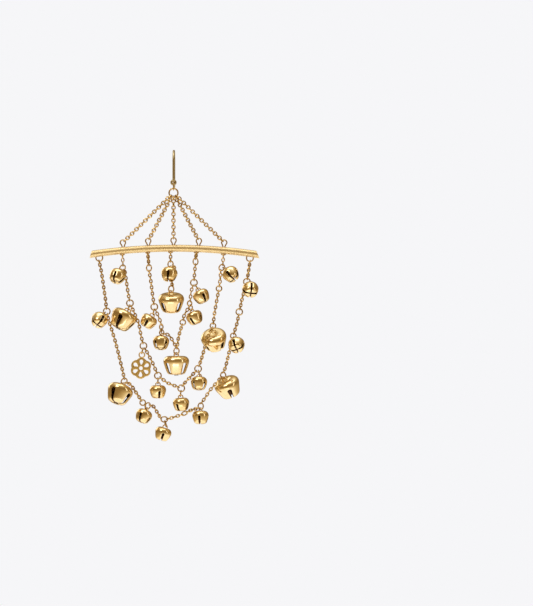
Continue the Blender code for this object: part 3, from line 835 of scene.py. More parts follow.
ROUTES: dict[str, tuple[Stop, ...]] = {
    "outer": (
        way(-0.971, 0.142), way(-0.922, 0.285),
        Stop("o1", -0.901, 0.369),
        way(-0.869, 0.429), way(-0.786, 0.547), way(-0.707, 0.685),
        Stop("o2", -0.670, 0.778, lie=60, slant=35),
        way(-0.581, 0.799), way(-0.515, 0.841),
        Stop("o3", -0.424, 0.902, radius=SMALL_RING),
        Stop("o3_lower", -0.358, 0.922, 0.5, lie=72, slant=42),
        way(-0.290, 0.922, 1.0), way(-0.235, 0.958, 1.0),
        Stop("o4", -0.137, 1.0, lie=0, slant=35),
        way(0.0, 0.986),
        Stop("o5", 0.132, 0.965, radius=PLAIN_RING, lie=25, slant=55),
        way(0.226, 0.945),
        Stop("o6", 0.347, 0.923, slant=40),
        way(0.410, 0.872, -0.2), way(0.466, 0.833, -0.6), way(0.575, 0.776, -1.3),
        Stop("o7", 0.645, 0.743, lie=100, slant=40),
        way(0.678, 0.692), way(0.728, 0.600, 0.9),
        Stop("o8", 0.779, 0.512, radius=SMALL_RING),
        way(0.831, 0.435),
        Stop("o9", 0.859, 0.372, radius=PLAIN_RING),
        way(0.898, 0.293, 0.6),
        Stop("o10", 0.960, 0.196),
    ),
    "middle": (
        Stop("m1", -0.994, 0.141, 0.5, lie=60, slant=40),
        way(-0.948, 0.168, 1.3), way(-0.890, 0.302, 0.3),
        Stop("m2", -0.845, 0.391),
        way(-0.754, 0.466, 0.5), way(-0.676, 0.536, 0.4), way(-0.637, 0.605),
        Stop("m3", -0.580, 0.695),
        way(-0.507, 0.742), way(-0.399, 0.817),
        Stop("m4", -0.295, 0.907),
        way(-0.102, 0.959),
        Stop("m5", 0.163, 0.997),
        way(0.214, 0.966), way(0.361, 0.909),
        Stop("m6", 0.495, 0.858),
        way(0.580, 0.767, -1.0), way(0.684, 0.637, -1.6),
        Stop("m7", 0.788, 0.552, -0.6, radius=SMALL_RING),
        way(0.827, 0.443),
        Stop("m8", 0.906, 0.287, radius=SMALL_RING),
        way(0.930, 0.222),
        Stop("m9", 0.961, 0.137, lie=60, slant=40),
    ),
    "inner": (
        Stop("i1", -0.943, 0.189, slant=44),
        way(-0.869, 0.313), way(-0.803, 0.434),
        Stop("i2", -0.725, 0.562),
        way(-0.530, 0.670),
        Stop("i3", -0.439, 0.754, radius=SMALL_RING, slant=-50),
        Stop("i3_lower", -0.422, 0.809, radius=SMALL_RING, slant=40),
        way(-0.130, 0.835, 0.6), way(0.030, 0.890, 0.6),
        Stop("i4", 0.180, 0.985, slant=40),
        way(0.266, 0.850, 0.5),
        Stop("i5", 0.439, 0.710, radius=SMALL_RING),
        way(0.500, 0.640, 0.6),
        Stop("i6", 0.717, 0.529, radius=SMALL_RING, slant=40),
        way(0.760, 0.440, 0.7), way(0.800, 0.395, 0.5),
        Stop("i7", 0.893, 0.330),
        way(0.922, 0.229),
        Stop("i8", 0.959, 0.128, slant=44),
    ),
    "centre": (
        Stop("c1", 0.0, 0.362, slant=40),
        way(0.30, 0.420, 1.0), way(0.20, 0.600, 1.8), way(0.10, 0.790, 1.2),
        Stop("c2", 0.05, 0.926, slant=40),
    ),
}


@dataclass(frozen=True)
class Pendant:
    """How one bell or the rosette hangs.

    Attributes:
        strand: The strand that carries it.
        ring: The ring that it hangs on.
        hang: Whether it hangs by its bail or on a jump ring.
        lean: How far the hanging direction swings right.
        out: How far it comes forward.
        tilt: How far the piece's top swings right.
        nod: How far its top comes forward.
        turn: The angle of its slots from the front.
    """

    strand: str
    ring: str
    hang: Hang
    lean: float
    out: float
    tilt: float
    nod: float
    turn: float

    def axis(self) -> Vector:
        """The direction of the piece's top."""
        tilt, nod = radians(self.tilt), radians(self.nod)
        return Vector((sin(tilt) * cos(nod), -sin(nod), cos(tilt) * cos(nod)))


SMALL_BELLS = (
    Pendant("middle", "m1", Hang.DIRECT, -60, 30, 27, -30, -25),
    Pendant("centre", "c1", Hang.DIRECT, -4, 40, 8, -24, -8),
    Pendant("middle", "m9", Hang.JUMP, 73, 44, -36, -37, -12),
    Pendant("outer", "o10", Hang.JUMP, 40, 67, -8, -60, 16),
    Pendant("outer", "o1", Hang.JUMP, -59, 52, 21, -46, 20),
    Pendant("inner", "i2", Hang.JUMP, -8, 10, 32, 0, -8),
    Pendant("inner", "i3_lower", Hang.DIRECT, -25, 30, 2, -18, 45),
    Pendant("inner", "i7", Hang.JUMP, 32, 20, -27, -8, 20),
    Pendant("inner", "i6", Hang.JUMP, 20, 20, -22, -5, -30),
    Pendant("outer", "o8", Hang.JUMP, 40, 55, -4, -52, -20),
    Pendant("middle", "m4", Hang.JUMP, 0, 0, 0, 0, 14),
    Pendant("middle", "m5", Hang.JUMP, -6, 5, -4, 0, -30),
    Pendant("middle", "m6", Hang.JUMP, 14, 52, 2, -12, 48),
    Pendant("outer", "o3_lower", Hang.DIRECT, -25, 30, 22, -14, -25),
    Pendant("outer", "o4", Hang.JUMP, 12, 24, 18, -2, 5),
    Pendant("outer", "o6", Hang.DIRECT, -10, 30, 0, -8, -8),
)
LARGE_BELLS = (
    Pendant("middle", "m2", Hang.JUMP, -15, 35, 28, -10, -15),
    Pendant("middle", "m7", Hang.JUMP, -10, -46, -12, 36, 40),
    Pendant("outer", "o7", Hang.DIRECT, 15, 35, -24, 20, 0),
    Pendant("outer", "o2", Hang.DIRECT, -25, 35, 20, -18, 55),
    Pendant("centre", "c2", Hang.DIRECT, 0, 10, 0, 14, 45),
    Pendant("inner", "i4", Hang.DIRECT, -10, 10, 0, 0, 45),
)
CHARM = Pendant("middle", "m3", Hang.JUMP, -12, 15, 4, 0, 0)


EYE_SPACING = 0.00962
OUTER_DROP = 0.0659


@dataclass(frozen=True)
class Layout:
    """The sizes that several pieces share, and the places that follow from them."""

    hook_wire: float = 0.00085
    hook_bend: float = 0.0042
    eye_drop: float = 0.0119
    hook_eye: float = 0.00078
    link_length: float = 0.0029
    link_wire: float = 0.0004
    top_ring: float = 0.0017
    top_wire: float = 0.0006
    bar_drop: float = 0.0213
    bar_left: float = 3.337 * EYE_SPACING
    bar_right: float = 3.42 * EYE_SPACING
    bar_thickness: float = 0.0027
    bar_arc: float = 0.217
    bar_setback: float = 0.0004
    eye_neck: float = 0.0017
    eye_radius: float = 0.00101
    eye_wire: float = 0.0005
    lug_height: float = 0.0006
    lug_rise: float = 0.0002
    lug_wire: float = 0.0005
    end_inset: float = 0.0035
    end_radius: float = 0.0013
    end_wire: float = 0.0005
    end_drop: float = 0.0018
    chain_width: float = 0.0016
    station_wire: float = 0.00052
    jump_radius: float = 0.00115
    jump_wire: float = 0.00048

    DROPS = {
        "outer": OUTER_DROP, "middle": 0.821 * OUTER_DROP,
        "inner": 0.61 * OUTER_DROP, "centre": 0.258 * OUTER_DROP,
    }
    LUGS = {"middle": (-2.06, 2.01), "inner": (-1.04, 0.92), "centre": (-0.12,)}

    @property
    def hook_eye_centre(self) -> Vector:
        """The middle of the hook's eye."""
        return Vector((0, -self.hook_bend, -self.eye_drop))

    @property
    def link_top(self) -> Vector:
        """The middle of the hook link's upper wire."""
        rise = self.hook_wire / 2 + self.link_wire / 2 + LINK_GAP
        return self.hook_eye_centre - UP * self.hook_eye + UP * rise

    @property
    def top_ring_centre(self) -> Vector:
        """The middle of the ring that gathers the five chains."""
        rise = self.link_wire / 2 + self.top_wire / 2 + LINK_GAP
        return self.link_top - UP * self.link_length + UP * rise - UP * self.top_ring

    @property
    def bar_crown(self) -> Vector:
        """The middle of the bar at the top of its arch."""
        return self.top_ring_centre + Vector((0, self.bar_setback, -self.bar_drop))

    def bar_point(self, x: float, height: float = 0.0) -> Vector:
        """The point of the bar's middle line at x, raised by height square to the arch."""
        slope = asin(x / self.bar_arc)
        radius = self.bar_arc + height
        return self.bar_crown + Vector((radius * sin(slope), 0, radius * cos(slope) - self.bar_arc))

    def eye_centre(self, index: int) -> Vector:
        """The middle of an eye on the bar, counted from the bar's middle."""
        return self.bar_point(index * EYE_SPACING, self.bar_thickness / 2 + self.eye_neck)

    @property
    def lug_depth(self) -> float:
        """How far under the bar's middle a lug's wire runs at its lowest."""
        return self.bar_thickness / 2 + self.lug_height - self.lug_rise

    def end_ring_centre(self, side: int) -> Vector:
        """The middle of the open ring at the left end, -1, or the right end, 1."""
        reach = self.bar_left if side < 0 else self.bar_right
        return self.bar_point(side * (reach - self.end_inset)) - UP * self.end_drop

    def span(self, strand: str) -> tuple[float, float]:
        """The middle and the half span of a strand."""
        if strand == "outer":
            left, right = self.end_inset - self.bar_left, self.bar_right - self.end_inset
        elif strand == "centre":
            middle = self.LUGS[strand][0] * EYE_SPACING
            left, right = middle - EYE_SPACING / 2, middle + EYE_SPACING / 2
        else:
            left, right = (place * EYE_SPACING for place in self.LUGS[strand])
        return (left + right) / 2, (right - left) / 2

    def place(self, strand: str, stop: Stop) -> Vector:
        """Where a stop of a strand lies."""
        middle, half = self.span(strand)
        depth, fall = stop.depth * self.chain_width, stop.fall * self.DROPS[strand]
        return self.bar_crown + Vector((middle + stop.along * half, depth, -fall))

    def hanging(self, pendant: Pendant, bail_wire: float) -> tuple[RingPlace | None, Vector, Vector]:
        """How a pendant hangs.

        Args:
            pendant: The pendant.
            bail_wire: The diameter of its bail's wire.

        Returns:
            Its jump ring's place or None, the middle of its bail's top wire and that wire's way.
        """
        stop = next(stop for stop in ROUTES[pendant.strand] if stop.name == pendant.ring)
        place, normal = self.place(pendant.strand, stop), stop.normal()
        lean, out = radians(pendant.lean), radians(pendant.out)
        rim = stop.rim(Vector((sin(lean), 0, -cos(lean))))
        if pendant.hang is Hang.DIRECT:
            reach = stop.radius - self.station_wire / 2 - bail_wire / 2 - LINK_GAP
            return None, place + rim * reach, normal
        pull = Vector((sin(lean) * cos(out), -sin(out), -cos(lean) * cos(out)))
        centre = place + rim * stop.radius
        centre += pull * (self.jump_radius - self.station_wire / 2 - self.jump_wire / 2 + SOLDER)
        top = centre + pull * (self.jump_radius - self.jump_wire / 2 - bail_wire / 2 - LINK_GAP)
        tangent = normal.cross(rim)
        axis = (tangent - pull * tangent.dot(pull)).normalized()
        return RingPlace(centre, axis, -pull), top, axis


# Sub-assemblies


@dataclass
class Assembly:
    """What each sub-assembly is built with.

    Attributes:
        shop: Dresses the pieces.
        plan: The shared sizes.
    """

    shop: Workshop
    plan: Layout


@dataclass
class EarHook(Assembly):
    """The French hook, bent from one wire, with its eye.

    Attributes:
        back_leg: The length of the straight back leg.
        tip_length: The length of the kicked tip.
        tip_kick: How far the tip kicks back.
    """

    back_leg: float = 0.0085
    tip_length: float = 0.0026
    tip_kick: float = radians(18)
    TIP_TAPER = (0.99, 0.92, 0.85)
    STEPS = 6

    def path(self) -> tuple[list[Vector], list[float]]:
        """The middle of the wire from the eye's neck to the tip.

        Returns:
            Its points and the wire's radius at each.
        """
        plan = self.plan
        crown = UP * (plan.hook_wire / 2 - plan.hook_bend)
        front, back = crown + FORWARD * plan.hook_bend, crown + BACK * plan.hook_bend
        neck, foot = plan.hook_eye_centre + UP * plan.hook_eye, back - UP * self.back_leg
        points = [neck.lerp(front, k / self.STEPS) for k in range(self.STEPS + 1)]
        points += Metalwork.arc(crown, FORWARD, UP, plan.hook_bend, 4 * self.STEPS)[1:-1]
        points += [back.lerp(foot, k / self.STEPS) for k in range(self.STEPS)]
        for k in range(1, self.STEPS + 1):
            kick = self.tip_kick * k / self.STEPS
            points.append(points[-1] + Vector((0, sin(kick), -cos(kick))) * self.tip_length / self.STEPS)
        radii = [plan.hook_wire / 2] * len(points)
        for k, taper in enumerate(reversed(self.TIP_TAPER), 1):
            radii[-k] *= taper
        return points, radii

    def build(self) -> None:
        """Makes the hook."""
        plan = self.plan
        points, radii = self.path()
        wire = Metalwork.wire(points, radii, RIGHT, sides=18)
        eye = Metalwork.loop(plan.hook_eye_centre, FORWARD, plan.hook_eye, plan.hook_wire, UP, sides=16)
        self.shop.piece("ear_hook_wire", Metalwork.joined([wire, eye]), [HOOK_GOLD], Body.HOOK, ["ear_hook"])


@dataclass
class Hanger(Assembly):
    """The oval link in the hook's eye and the ring that gathers the five chains.

    Attributes:
        link_width: The width of the oval link, to the middle of its wire.
    """

    link_width: float = 0.00155

    def build(self) -> None:
        """Makes the link and the ring."""
        plan = self.plan
        bend = self.link_width / 2
        high, low = plan.link_top - UP * bend, plan.link_top - UP * (plan.link_length - bend)
        points = Metalwork.arc(high, BACK, UP, bend, 12) + Metalwork.arc(low, BACK, UP, bend, 12, start=pi)
        link = Metalwork.wire(points, plan.link_wire / 2, RIGHT, closed=True)
        self.shop.piece("hook_link_wire", link, [CHAIN_GOLD], Body.DROP, ["hook_link"])
        centre = plan.top_ring_centre
        ring = Metalwork.loop(centre, FORWARD, plan.top_ring, plan.top_wire, UP, steps=56, sides=14)
        self.shop.piece("top_ring_wire", ring, [CHAIN_GOLD], Body.DROP, ["top_ring"])


@dataclass
class UpperChains:
    """The five chains that spread from the top ring to the bar's eyes.

    Attributes:
        maker: Makes the chain.
        plan: The shared sizes.
        stagger: How far neighbouring chains part forwards and back near the ring.
        roundness: How much wider than usual their links are.
    """

    maker: ChainMaker
    plan: Layout
    stagger: float = 0.00045
    roundness: float = 1.28
    PARTING = ((0.0, 0.5), (0.1, 1.0), (0.45, 0.6), (1.0, 0.0))

    def build(self) -> None:
        """Makes the chains as one piece."""
        plan, runs = self.plan, []
        for index in range(-2, 3):
            eye = plan.eye_centre(index)
            pull = (eye - plan.top_ring_centre).normalized()
            first = plan.top_ring_centre + pull * (plan.top_ring + self.maker.reach(plan.top_wire))
            last = eye - pull * (plan.eye_radius + self.maker.reach(plan.eye_wire))
            shift = (FORWARD if index % 2 == 0 else BACK) * self.stagger
            runs.append([first.lerp(last, along) + shift * share for along, share in self.PARTING])
        nodes = [f"upper_chain_{number}" for number in range(1, 6)]
        self.maker.chain("upper_chain_links", runs, nodes, seed=11, roundness=self.roundness)


@dataclass
class ArchedBar(Assembly):
    """The arched bar with its eyes, lugs and end rings.

    Attributes:
        end_slant: How far the lower edge of each end stands out.
        left_cut: How far the left end is cut back, from its lower edge up.
        right_cut: How far the right end is cut back.
        cut_steps: Over how many sections a cut end eases into the bar.
        steps: How many sections the bar has.
        sides: How many sides its section has.
        lug_width: The width of a lug under the bar.
        edge: The rounding of the ends' edges.
    """

    end_slant: float = radians(16)
    left_cut: float = radians(25)
    right_cut: float = radians(31)
    cut_steps: int = 8
    steps: int = 96
    sides: int = 40
    lug_width: float = 0.0016
    edge: float = 0.00008
    LUG_BEND = 0.7

    def body(self) -> Mesh:
        """The bar's round stock, with a UV map whose U runs along it in metres.

        Returns:
            The mesh.
        """
        plan, bm = self.plan, bmesh.new()
        run = bm.loops.layers.uv.new("run")
        length, radius = plan.bar_left + plan.bar_right, plan.bar_thickness / 2
        sections, places = [], {}
        for k in range(self.steps + 1):
            x = -plan.bar_left + length * k / self.steps
            slope = asin(x / plan.bar_arc)
            along = Vector((cos(slope), 0, -sin(slope)))
            ends = (
                (max(0.0, 1 - k / self.cut_steps), self.left_cut),
                (-max(0.0, 1 - (self.steps - k) / self.cut_steps), self.right_cut),
            )
            section = []
            for j in range(self.sides):
                a = 2 * pi * j / self.sides
                height = radius * cos(a)
                point = plan.bar_point(x, height) + BACK * radius * sin(a)
                for share, slant in ends:
                    point += along * share * (tan(slant) * (height + radius) - tan(self.end_slant) * radius)
                vert = bm.verts.new(point)
                places[vert] = (x, radius * a)
                section.append(vert)
            sections.append(section)
        for low, high in zip(sections, sections[1:]):
            faces = Metalwork.bridge(bm, low, high)
            for face in faces:
                for corner in face.loops:
                    u, v = places[corner.vert]
                    seam = face is faces[-1] and v == 0
                    corner[run].uv = (u, radius * 2 * pi if seam else v)
        for section in (sections[0], sections[-1]):
            face = bm.faces.new(section)
            for corner in face.loops:
                corner[run].uv = (corner.vert.co.z * 4, corner.vert.co.y)
        return Metalwork.evaluated(Metalwork.mesh_of(bm), [Metalwork.bevel(self.edge, 3, 40)])

    def eye(self, index: int) -> Mesh:
        """One teardrop eye, a loop of wire whose two ends go down into the bar."""
        plan, x = self.plan, index * EYE_SPACING
        centre = plan.eye_centre(index)
        out = (centre - plan.bar_point(x)).normalized()
        side = Vector((out.z, 0, -out.x))
        foot = plan.bar_point(x, plan.bar_thickness / 2 - plan.eye_wire / 2)
        loop = Metalwork.arc(centre, side, out, plan.eye_radius, 26, start=radians(-46), sweep=radians(272))
        points = [foot + side * plan.eye_wire / 2, *loop, foot - side * plan.eye_wire / 2]
        return Metalwork.wire(Metalwork.smooth_route(points, 3), plan.eye_wire / 2, FORWARD)

    def lug(self, x: float) -> Mesh:
        """One low half loop under the bar."""
        plan, half = self.plan, self.lug_width / 2
        top = plan.lug_wire / 2 - plan.bar_thickness / 2
        deep = plan.lug_depth + top
        turns = [pi * k / 16 for k in range(17)]
        points = [plan.bar_point(x - half * cos(a), top - deep * sin(a) ** self.LUG_BEND) for a in turns]
        return Metalwork.wire(points, plan.lug_wire / 2, FORWARD)

    def build(self) -> None:
        """Makes the bar and what is soldered to it."""
        plan = self.plan
        self.shop.piece("arched_bar_stock", self.body(), [BAR_GOLD], Body.DROP, ["arched_bar"])
        fittings = [self.eye(index) for index in range(-2, 3)]
        for places in plan.LUGS.values():
            fittings += [self.lug(place * EYE_SPACING) for place in places]
        for side in (-1, 1):
            centre = plan.end_ring_centre(side)
            fittings.append(Metalwork.loop(centre, FORWARD, plan.end_radius, plan.end_wire, -UP))
        self.shop.piece("bar_fittings", Metalwork.joined(fittings), [CHAIN_GOLD], Body.DROP, ["arched_bar"])


@dataclass
class Strand:
    """One swag of chain, with its rings and the jump rings that hang on them.

    Attributes:
        maker: Makes chain and rings.
        plan: The shared sizes.
        name: The strand's name.
        jumps: The jump rings on it.
    """

    maker: ChainMaker
    plan: Layout
    name: str
    jumps: list[RingPlace]

    def start(self, end: int) -> Vector:
        """The middle of the first link under the bar, on the left, 0, or the right, 1."""
        plan = self.plan
        if self.name == "outer":
            drop = plan.end_radius + self.maker.reach(plan.end_wire)
            return plan.end_ring_centre(2 * end - 1) - UP * drop
        x = plan.LUGS[self.name][end] * EYE_SPACING
        return plan.bar_point(x, -plan.lug_depth - self.maker.reach(plan.lug_wire))

    def runs(self) -> list[list[Vector]]:
        """The chain's runs from ring to ring.

        Returns:
            The points that each run passes.
        """
        route, plan = ROUTES[self.name], self.plan
        reach = self.maker.reach(plan.station_wire)
        runs, run = [], [self.start(0)]
        for i, stop in enumerate(route):
            place = plan.place(self.name, stop)
            if not stop.name:
                run.append(place)
                continue
            run.append(place + stop.rim(run[-1] - place) * (stop.radius + reach))
            runs.append(run)
            ahead = None
            if i + 1 < len(route):
                ahead = plan.place(self.name, route[i + 1])
            elif self.name != "centre":
                ahead = self.start(1)
            run = [place + stop.rim(ahead - place) * (stop.radius + reach)] if ahead else None
        if run:
            runs.append(run + [self.start(1)])
        return runs

    def build(self, seed: int) -> None:
        """Makes the strand.

        Args:
            seed: The seed of its jitter.
        """
        plan = self.plan
        self.maker.chain(f"{self.name}_chain", self.runs(), [f"{self.name}_strand"], seed)
        stops = [stop for stop in ROUTES[self.name] if stop.name]
        for radius in sorted({stop.radius for stop in stops}):
            places = [
                RingPlace(plan.place(self.name, stop), stop.normal(), stop.rim(UP))
                for stop in stops if stop.radius == radius
            ]
            title = f"{self.name}_rings_{round(radius * 1e5)}"
            self.maker.rings(title, places, radius, plan.station_wire, seed + 1)
        if self.jumps:
            title = f"{self.name}_jump_rings"
            self.maker.rings(title, self.jumps, plan.jump_radius, plan.jump_wire, seed + 2)


@dataclass(frozen=True)
class BellSize:
    """The shape of one size of bell.

    Attributes:
        width: The widest part.
        height: The body's height.
        wall: The sheet's thickness.
        slot: The slot's width at its top.
        slot_fall: Where the slot starts, as a share of the height.
        slot_foot: The slot's width at its foot, as a share of the top's.
        bail_width: The bail's width, to the middle of its wire.
        bail_height: The bail's height over the dome.
        bail_wire: The diameter of the bail's wire.
        flatness: How far the petals are flattened towards their foot.
        profile: The share of the radius and of the height of points down the wall.
    """

    width: float
    height: float
    wall: float
    slot: float
    slot_fall: float
    slot_foot: float
    bail_width: float
    bail_height: float
    bail_wire: float
    flatness: float
    profile: tuple[tuple[float, float], ...]


BELL_SIZES = {
    BellKind.SMALL: BellSize(
        0.0063, 0.0051, 0.00032, 0.00112, 0.40, 0.55, 0.0017, 0.00112, 0.00045, 0.22,
        ((0.02, 0.030), (0.20, 0.022), (0.42, 0.006), (0.64, 0.024), (0.82, 0.092), (0.945, 0.20),
         (1.0, 0.33), (0.985, 0.48), (0.92, 0.66), (0.84, 0.80), (0.73, 0.915), (0.55, 0.975), (0.34, 0.996),
         (0.14, 1.0)),
    ),
    BellKind.LARGE: BellSize(
        0.0099, 0.0073, 0.00040, 0.0020, 0.36, 0.30, 0.0026, 0.0012, 0.0005, 0.34,
        ((0.02, 0.085), (0.17, 0.075), (0.33, 0.030), (0.50, 0.004), (0.70, 0.020), (0.86, 0.080),
         (0.965, 0.17), (1.0, 0.27), (0.985, 0.38), (0.925, 0.55), (0.85, 0.72), (0.765, 0.87),
         (0.66, 0.955), (0.46, 0.990), (0.16, 1.0)),
    ),
}


@dataclass
class BellMaker(Assembly):
    """Makes the bells of one size.

    Attributes:
        kind: The size of bell.
        columns: How many columns of faces one petal has.
        row_length: The height of one row of faces, as a share of the width.
        edge_bend: How far a petal's edges bend in.
        slot_round: The share of a slot's length over which its top rounds off.
        slot_least: The square of the width share that a slot starts with.
        pellet_share: The loose ball's width, as a share of the bell's.
        pellet_room: The half width and half height that the ball may reach, as shares of the bell's.
        solder_share: The radius of a drop of solder, as a share of the bail's wire.
        solder_flat: How far it is flattened.
        edge_round: The rounding of the sheet's edges, as a share of its thickness.
    """

    kind: BellKind
    columns: int = 14
    row_length: float = 0.026
    edge_bend: float = 0.045
    slot_round: float = 0.06
    slot_least: float = 0.12
    pellet_share: float = 0.44
    pellet_room: tuple[float, float] = (0.42, 0.47)
    solder_share: float = 0.78
    solder_flat: float = 0.55
    edge_round: float = 0.18
    PETALS = 4
    SLOT_LIMIT = 0.66
    BAIL_BEND = 0.75
    BAIL_ROOT = 1.8

    @property
    def size(self) -> BellSize:
        """The shape of this size of bell."""
        return BELL_SIZES[self.kind]

    def rows(self) -> list[tuple[float, float]]:
        """Radius and fall of each row of the wall, evenly spaced from the pole down.

        Returns:
            The rows in metres.
        """
        size = self.size
        points = [Vector((r * size.width / 2, 0, fall * size.height)) for r, fall in size.profile]
        dense = Metalwork.smooth_route(points, 10)
        rows, reach, step = [dense[0]], 0.0, self.row_length * size.width
        for a, b in zip(dense, dense[1:]):
            reach += (b - a).length
            if reach >= step:
                rows.append(b)
                reach = 0.0
        rows.append(dense[-1])
        return [(point.x, point.z) for point in rows]

    def slot_width(self, share: float) -> float:
        """The slot's width at a share of its length from its top, with a rounded top."""
        size = self.size
        taper = 1 + (size.slot_foot - 1) * share
        return size.slot * taper * min(1.0, sqrt(max(share, 0.0) / self.slot_round + self.slot_least))

    def sheet(self) -> Mesh:
        """The outer sheet of the body round the Z axis, with open slots.

        Returns:
            The mesh, whose faces look outwards.
        """
        size, bm = self.size, bmesh.new()
        rows = self.rows()
        slot_row = next(i for i, (_, fall) in enumerate(rows) if fall >= size.slot_fall * size.height)
        quarter, columns = 2 * pi / self.PETALS, self.columns
        total = len(rows) - 1 - slot_row

        def point(radius: float, fall: float, petal: int, t: float, half: float, share: float) -> Vector:
            """One point of a petal, t from -1 at one edge to 1 at the other."""
            angle = half * t
            flat = size.flatness * share
            radius *= 1 - flat + flat * cos(quarter / 2) / cos(angle)
            radius *= 1 - self.edge_bend * min(1.0, share * 3) * abs(t) ** 6
            turn = quarter * petal + angle
            return Vector((radius * cos(turn), radius * sin(turn), size.height / 2 - fall))

        steps = [2 * k / columns - 1 for k in range(columns + 1)]
        dome = []
        for radius, fall in rows[:slot_row]:
            spots = [(p, t) for p in range(self.PETALS) for t in steps[:-1]]
            dome.append([bm.verts.new(point(radius, fall, p, t, quarter / 2, 0.0)) for p, t in spots])
        petals = []
        for p in range(self.PETALS):
            petal = []
            for i, (radius, fall) in enumerate(rows[slot_row:]):
                share = i / total
                half = quarter / 2 - asin(min(self.SLOT_LIMIT, self.slot_width(share) / 2 / radius))
                petal.append([bm.verts.new(point(radius, fall, p, t, half, share)) for t in steps])
            petals.append(petal)
        pole = bm.verts.new((0, 0, size.height / 2 - rows[0][1]))
        Metalwork.fan(bm, pole, dome[0])
        for low, high in zip(dome, dome[1:]):
            Metalwork.bridge(bm, low, high)
        edge = dome[-1] + dome[-1][:1]
        for p, petal in enumerate(petals):
            Metalwork.bridge(bm, edge[p * columns:(p + 1) * columns + 1], petal[0], closed=False)
            bm.faces.new((edge[p * columns], petal[0][0], petals[p - 1][0][-1]))
            for low, high in zip(petal, petal[1:]):
                Metalwork.bridge(bm, low, high, closed=False)
        bmesh.ops.recalc_face_normals(bm, faces=bm.faces)
        bm.faces.ensure_lookup_table()
        if next(face for face in bm.faces if pole in face.verts).normal.z < 0:
            bmesh.ops.reverse_faces(bm, faces=bm.faces)
        return Metalwork.mesh_of(bm, turn_out=False)

    def fall_at(self, share: float) -> float:
        """The dome's fall under its highest point at a share of the radius."""
        rows = self.size.profile
        for (near, high), (far, low) in zip(rows, rows[1:]):
            if near <= share <= far:
                return (high + (low - high) * (share - near) / (far - near)) * self.size.height
        return 0.0

    def pellet(self, down: Vector) -> Mesh:
        """The loose ball that rests at the lowest place inside the shell.

        Args:
            down: The way down, as the bell's own axes have it.

        Returns:
            The mesh.
        """
        size, bm = self.size, bmesh.new()
        radius = size.width * self.pellet_share / 2
        share, rise = self.pellet_room
        across, high = size.width * share - size.wall, size.height * rise - size.wall
        inside = 1 / sqrt((down.x ** 2 + down.y ** 2) / across ** 2 + down.z ** 2 / high ** 2)
        spot = Matrix.Translation(down * (inside - radius))
        bmesh.ops.create_uvsphere(bm, u_segments=24, v_segments=14, radius=radius, matrix=spot)
        # The ball takes the second material, the painted-shade dark brown of the bell's inside.
        for face in bm.faces:
            face.material_index = 1
        return Metalwork.mesh_of(bm)

    def bail(self) -> Mesh:
        """The half ring soldered on the dome, in the XZ plane."""
        size = self.size
        half, top = size.bail_width / 2, size.height / 2 + size.bail_height
        bend = min(half, size.bail_height * self.BAIL_BEND)
        foot = size.height / 2 - size.wall * self.BAIL_ROOT
        corner = Vector((half - bend, 0, top - bend))
        points = [Vector((half, 0, foot)), *Metalwork.arc(corner, RIGHT, UP, bend, 8, sweep=pi / 2)]
        points += [Vector((-point.x, 0, point.z)) for point in reversed(points) if point.x > 1e-6]
        return Metalwork.wire(points, size.bail_wire / 2, BACK)

    def solder(self) -> Mesh:
        """The two low fillets of solder at the bail's feet."""
        size, bm = self.size, bmesh.new()
        height = size.height / 2 - self.fall_at(size.bail_width / size.width)
        for side in (-1, 1):
            spot = Vector((side * size.bail_width / 2, 0, height))
            shape = Matrix.Translation(spot) @ Matrix.Diagonal((1.0, 1.0, self.solder_flat, 1.0))
            radius = size.bail_wire * self.solder_share
            bmesh.ops.create_uvsphere(bm, u_segments=12, v_segments=8, radius=radius, matrix=shape)
        return Metalwork.mesh_of(bm)

    def build(self, number: int, pendant: Pendant) -> None:
        """Makes one bell.

        Args:
            number: Its number.
            pendant: How it hangs.
        """
        size = self.size
        _, top, top_way = self.plan.hanging(pendant, size.bail_wire)
        axis = pendant.axis()
        matrix = hung(axis, top_way, top, size.height / 2 + size.bail_height)
        front = FORWARD @ matrix.to_3x3()
        spin = atan2(front.y, front.x) + radians(pendant.turn) + pi / self.PETALS
        shell = self.sheet()
        # The solidified sheet's inner faces take the second finish, near-black brown painted shade for the
        # bell's hollow.
        for finish in (BELL_GOLD, BELL_INSIDE_SHADE):
            shell.materials.append(self.shop.coat(finish))
        shell.transform(Matrix.Rotation(spin, 4, "Z"))
        wall = {"thickness": size.wall, "offset": -1.0, "use_even_offset": False}
        shell = Metalwork.evaluated(shell, [
            ("SOLIDIFY", {**wall, "material_offset": 1, "material_offset_rim": 0}, {}),
            Metalwork.bevel(size.wall * self.edge_round, 2, 48),
        ])
        down = -UP @ matrix.to_3x3()
        mesh = Metalwork.joined([shell, self.bail(), self.solder(), self.pellet(down)])
        mesh.transform(matrix)
        node = f"{self.kind.value}_bell_{number:02d}"
        self.shop.piece(f"{node}_shell", mesh, [BELL_GOLD, BELL_INSIDE_SHADE], Body.DROP, [node])


def hung(axis: Vector, top_way: Vector, top: Vector, reach: float) -> Matrix:
    """The matrix that hangs a piece by its top wire.

    Args:
        axis: The direction of the piece's top.
        top_way: The way of the wire that it hangs on.
        top: The middle of its bail's top wire.
        reach: The distance from there down to the piece's middle.

    Returns:
        The matrix.
    """
    cross = (top_way - axis * top_way.dot(axis)).normalized()
    turned = Matrix((cross, axis.cross(cross), axis)).transposed().to_4x4()
    return Matrix.Translation(top - axis * reach) @ turned


